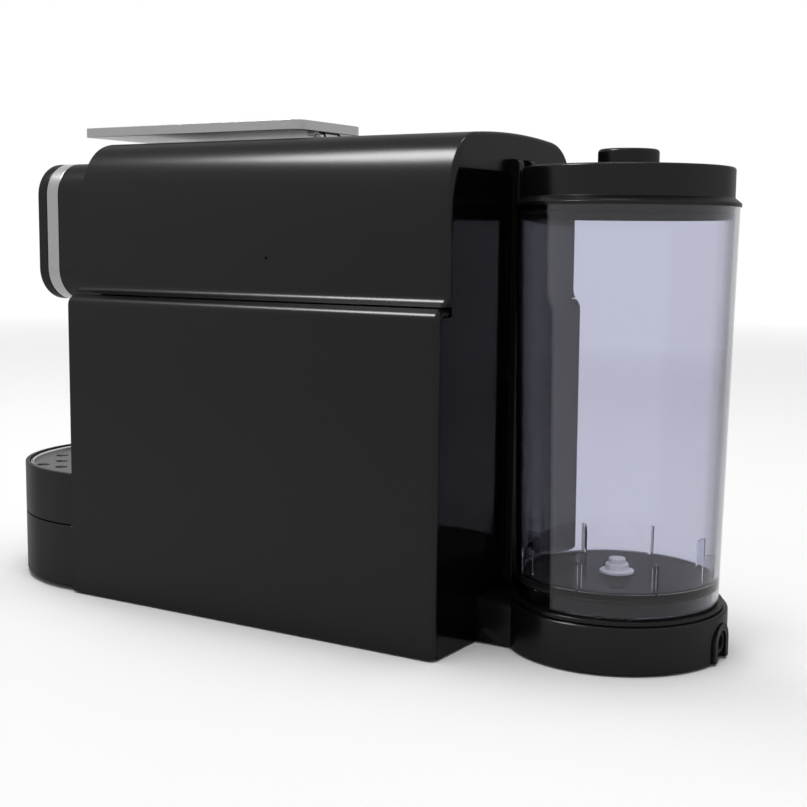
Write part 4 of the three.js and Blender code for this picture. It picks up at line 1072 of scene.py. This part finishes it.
def clear_of_the_wall(middle, edge):
    free = middle.z > TANK_FLOOR + 0.2 and middle.x < inside - 0.2
    return free and abs(middle.y) > BLADE_HALF - 0.05


blade = bar("blade", blade_profile, "y", -BLADE_HALF, BLADE_HALF)
round_edges(blade, 0.3, 2, clear_of_the_wall)
under_tank = spot(0, TANK_Y, 0)
enter(blade)
bpy.ops.transform.translate(value=under_tank - spot(0, 0, 0))
for number in range(BLADES):
    turn = -math.tau * number / BLADES
    twin = copy_of(blade, "blade_copy")
    enter(twin)
    bpy.ops.transform.rotate(value=turn, orient_axis="Z", center_override=under_tank)
    bpy.ops.object.mode_set(mode="OBJECT")
    weld(tank, twin)
bpy.data.objects.remove(blade)
dress(tank, "tank", "clear_plastic", "water_tank")

# %% [markdown]
# Light that is bent by the tank's wall can't be traced back to a lamp, so the tank would throw a
# black shadow. It casts none, and the lamps reach the white valve inside it.

# %% Light through the tank
tank.visible_shadow = False
print("the tank casts a shadow:", tank.visible_shadow)

# %% [markdown]
# ## Lid and knob
# The lid is turned: a shallow dome with a step, a flange that covers the tank's rim, and a
# collar with a groove for its seal. The knob is a short drum with a softened edge.

# %% Lid
LID_FOOT, LID_TOP, LID, CROWN = 206.2, 224.0, 48.0, 16.9
FLANGE, LIP_IN = TANK_RIM + 0.6, TANK_RIM + 0.2
brink = (LID - 1.4, LID_TOP - 1.1)
collar = TANK_RIM - TANK_WALL - 0.9
collar_low, groove_high, groove_low = LID_FOOT - 6.7, LID_FOOT - 2.8, LID_FOOT - 5.2
lid_profile = (
    [(0, LID_TOP), (CROWN, LID_TOP)]
    + bend((CROWN, LID_TOP), (32, LID_TOP - 0.2), brink, steps=6)[1:]
    + bend(brink, (LID, LID_TOP - 1.3), (LID, LID_TOP - 2.5), steps=8)[1:]
    + [(LID, LID_FOOT + 3.2), (LID + 0.3, LID_FOOT + 2.8)]
    + [(FLANGE - 0.2, LID_FOOT + 0.8), (FLANGE, LID_FOOT + 0.5), (FLANGE, LID_FOOT - 0.9)]
    + [(LIP_IN, LID_FOOT - 0.9), (LIP_IN, LID_FOOT), (collar, LID_FOOT)]
    + [(collar, groove_high), (collar - 1.3, groove_high)]
    + [(collar - 1.3, groove_low), (collar, groove_low), (collar, collar_low)]
    + [(collar - 2.3, collar_low), (collar - 2.3, LID_TOP - 5), (0, LID_TOP - 3.5)]
)
lid = turned_piece("tank_lid_dome", lid_profile, 0, TANK_Y, 128)
dress(lid, "lid", "satin_black", "tank_lid")

# %% Knob
KNOB, KNOB_ROUND, KNOB_FOOT = 13.9, 1.6, LID_TOP + 0.3
KNOB_TOP = KNOB_FOOT + 6.8
knob_profile = (
    [(0, KNOB_TOP), (KNOB - KNOB_ROUND, KNOB_TOP)]
    + arc(KNOB - KNOB_ROUND, KNOB_TOP - KNOB_ROUND, KNOB_ROUND, 90, 0, 6)
    + [(KNOB, KNOB_FOOT + 0.2), (KNOB - 0.2, KNOB_FOOT), (0, KNOB_FOOT)]
)
knob = turned_piece("lid_knob_drum", knob_profile, 0, TANK_Y, 96)
dress(knob, "lid", "satin_black", "lid_knob")

# %% [markdown]
# ## Valve
# In the middle of the tank's floor sits a white spring valve: a flanged cup, and a plunger whose
# cap shows above it. Both are turned.

# %% Valve
VALVE_FOOT, VALVE_TOP, SPRING_TOP = 29.5, TANK_FLOOR + 4.8, TANK_FLOOR + 1.4
BORE, VALVE_NECK, VALVE_FLANGE, CUP, MOUTH = 3.4, 4.2, 8.1, 5.5, 1.5
flange_low, flange_top = TANK_FLOOR + 0.3, TANK_FLOOR + 1.5
valve_profile = (
    [(BORE, VALVE_FOOT), (VALVE_NECK, VALVE_FOOT), (VALVE_NECK, flange_low)]
    + [(VALVE_FLANGE, flange_low), (VALVE_FLANGE, flange_top - 0.3)]
    + [(VALVE_FLANGE - 0.3, flange_top), (CUP + 0.3, flange_top), (CUP, flange_top + 0.3)]
    + [(CUP, VALVE_TOP - 0.5), (CUP - 0.5, VALVE_TOP), (MOUTH, VALVE_TOP)]
    + [(MOUTH, SPRING_TOP), (BORE, SPRING_TOP)]
)
valve = turned_piece("valve_cup", valve_profile + valve_profile[:1], 0, TANK_Y, 64)
dress(valve, "tank", "white_plastic", "valve_body")

# %% Plunger
STEM, STEM_FOOT, STEM_DISC, CAP, CAP_ROUND = 1.2, 28.9, 2.7, 4, 0.6
cap_low = VALVE_TOP + 0.3
cap_high = cap_low + 2.1
plunger_profile = (
    [(0, STEM_FOOT), (STEM_DISC, STEM_FOOT), (STEM_DISC, STEM_FOOT + 1.1)]
    + [(STEM, STEM_FOOT + 1.1), (STEM, cap_low), (CAP, cap_low), (CAP, cap_low + 1.4)]
    + arc(CAP - CAP_ROUND, cap_high - CAP_ROUND, CAP_ROUND, 0, 90, 4)
    + [(0, cap_high)]
)
plunger = turned_piece("valve_stem", plunger_profile, 0, TANK_Y, 48)
dress(plunger, "plunger", "white_plastic", "valve_plunger")

# %% [markdown]
# The valve's spring shortens as the plunger rises. A copy of its solid is closed up and stays with
# the tank; it keeps its length.

# %% Valve spring
spring_mesh = frame["nodes"]["valve_spring"].data.copy()
spring = bpy.data.objects.new("valve_spring_coil", spring_mesh)
bpy.context.scene.collection.objects.link(spring)
dress(spring, "tank", "steel", "valve_spring")
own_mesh(spring)

# %% [markdown]
# ## Finishes of the solids that stay
# The rest of the frame has the right shape as it is. Each of those solids gets the finish of the
# slot that the record names for it. What shows of the hinge under the lever is bright metal.

# %% Materials on the carried-over solids
for part in frame["record"]["subparts"]:
    solid = frame["nodes"][part["node"]]
    solid.data.materials.clear()
    solid.data.materials.append(FINISH_OF_SLOT[part["material_slot"]])
for node in ("lever_hub", "hinge_bracket_right", "hinge_bracket_left"):
    frame["nodes"][node].data.materials[0] = steel
print("solids dressed:", len(frame["nodes"]))

# %% [markdown]
# ## Stage
# The machine stands on a pale floor that fades to white a little way off, in a white room. The
# floor keeps the machine's shadow; the white comes from the floor's and the room's own colour
# where the camera, a mirror or glass looks at them, and adds no light.

# %% Floor
deselect()
bpy.ops.mesh.primitive_circle_add(vertices=96, radius=9, fill_type="NGON", location=(0, 0, 0))
floor = bpy.context.object
floor.name = "floor"
paper = Finish("paper_floor", Roughness=0.9, Specular_IOR_Level=0.1)
tone = paper.noise(3.0, 2.0)
paper.feed(Base_Color=paper.blend(tone, shade(0.94), shade(0.95)))
FADE_START, FADE_END = 0.9, 2.6
away = paper.node("VectorMath", {"operation": "LENGTH"}, {0: paper.place()}).outputs["Value"]
fade = paper.node("MapRange", {}, {0: away, 1: FADE_START, 2: FADE_END})
white = paper.node("Emission", {}, {"Color": shade(1.0), "Strength": 1.0})
ray = paper.node("LightPath").outputs
looked_at = Varying(paper, ray["Is Camera Ray"])
looked_at += Varying(paper, ray["Is Glossy Ray"])
looked_at += Varying(paper, ray["Is Transmission Ray"])
paper.lay_over(looked_at * Varying(paper, fade.outputs[0]), white)
floor.data.materials.append(paper.material)

# %% White room
ROOM_STRENGTH = 0.35
world = bpy.data.worlds.new("white_room")
world.use_nodes = True
bpy.context.scene.world = world
tree = world.node_tree
tree.nodes.clear()
room = tree.nodes.new("ShaderNodeBackground")
room.inputs["Color"].default_value = shade(1.0)
room.inputs["Strength"].default_value = ROOM_STRENGTH
seen_white = tree.nodes.new("ShaderNodeBackground")
seen_white.inputs["Color"].default_value = shade(1.0)
ray = tree.nodes.new("ShaderNodeLightPath").outputs
looked_at = ray["Is Camera Ray"]
for name in ("Is Glossy Ray", "Is Transmission Ray"):
    either = tree.nodes.new("ShaderNodeMath")
    either.operation = "MAXIMUM"
    tree.links.new(looked_at, either.inputs[0])
    tree.links.new(ray[name], either.inputs[1])
    looked_at = either.outputs[0]
choice = tree.nodes.new("ShaderNodeMixShader")
tree.links.new(looked_at, choice.inputs[0])
tree.links.new(room.outputs[0], choice.inputs[1])
tree.links.new(seen_white.outputs[0], choice.inputs[2])
output = tree.nodes.new("ShaderNodeOutputWorld")
tree.links.new(choice.outputs[0], output.inputs[0])
print("room strength", ROOM_STRENGTH)

# %% [markdown]
# Four square lamps light the machine. `top` and `key` light the colours and the floor but stay
# out of reflections. `shine` and `glint` are seen only in reflections: they draw the bright lines
# along the shoulder and the soft gradient on the lever.

# %% Lamps
AIM = Vector((0, 0, 0.15))


def lamp(name, direction, distance, size, power):
    light = bpy.data.lights.new(name, "AREA")
    light.shape = "SQUARE"
    light.size, light.energy = size, power
    holder = bpy.data.objects.new(name, light)
    bpy.context.scene.collection.objects.link(holder)
    holder.location = AIM + Vector(direction).normalized() * distance
    holder.rotation_euler = Vector(direction).to_track_quat("Z", "Y").to_euler()
    return holder


lamp("shine", (0.35, -0.46, 0.816), 2.2, 0.6, 50).visible_diffuse = False
lamp("key", (-0.15, -0.5, 0.85), 2.2, 0.9, 9).visible_glossy = False
lamp("top", (0.06, 0.04, 1), 2.8, 1.7, 55).visible_glossy = False
lamp("glint", (-0.2, -0.09, 0.97), 2.8, 0.7, 14).visible_diffuse = False

# %% View and end
bpy.context.scene.view_settings.view_transform = "Standard"
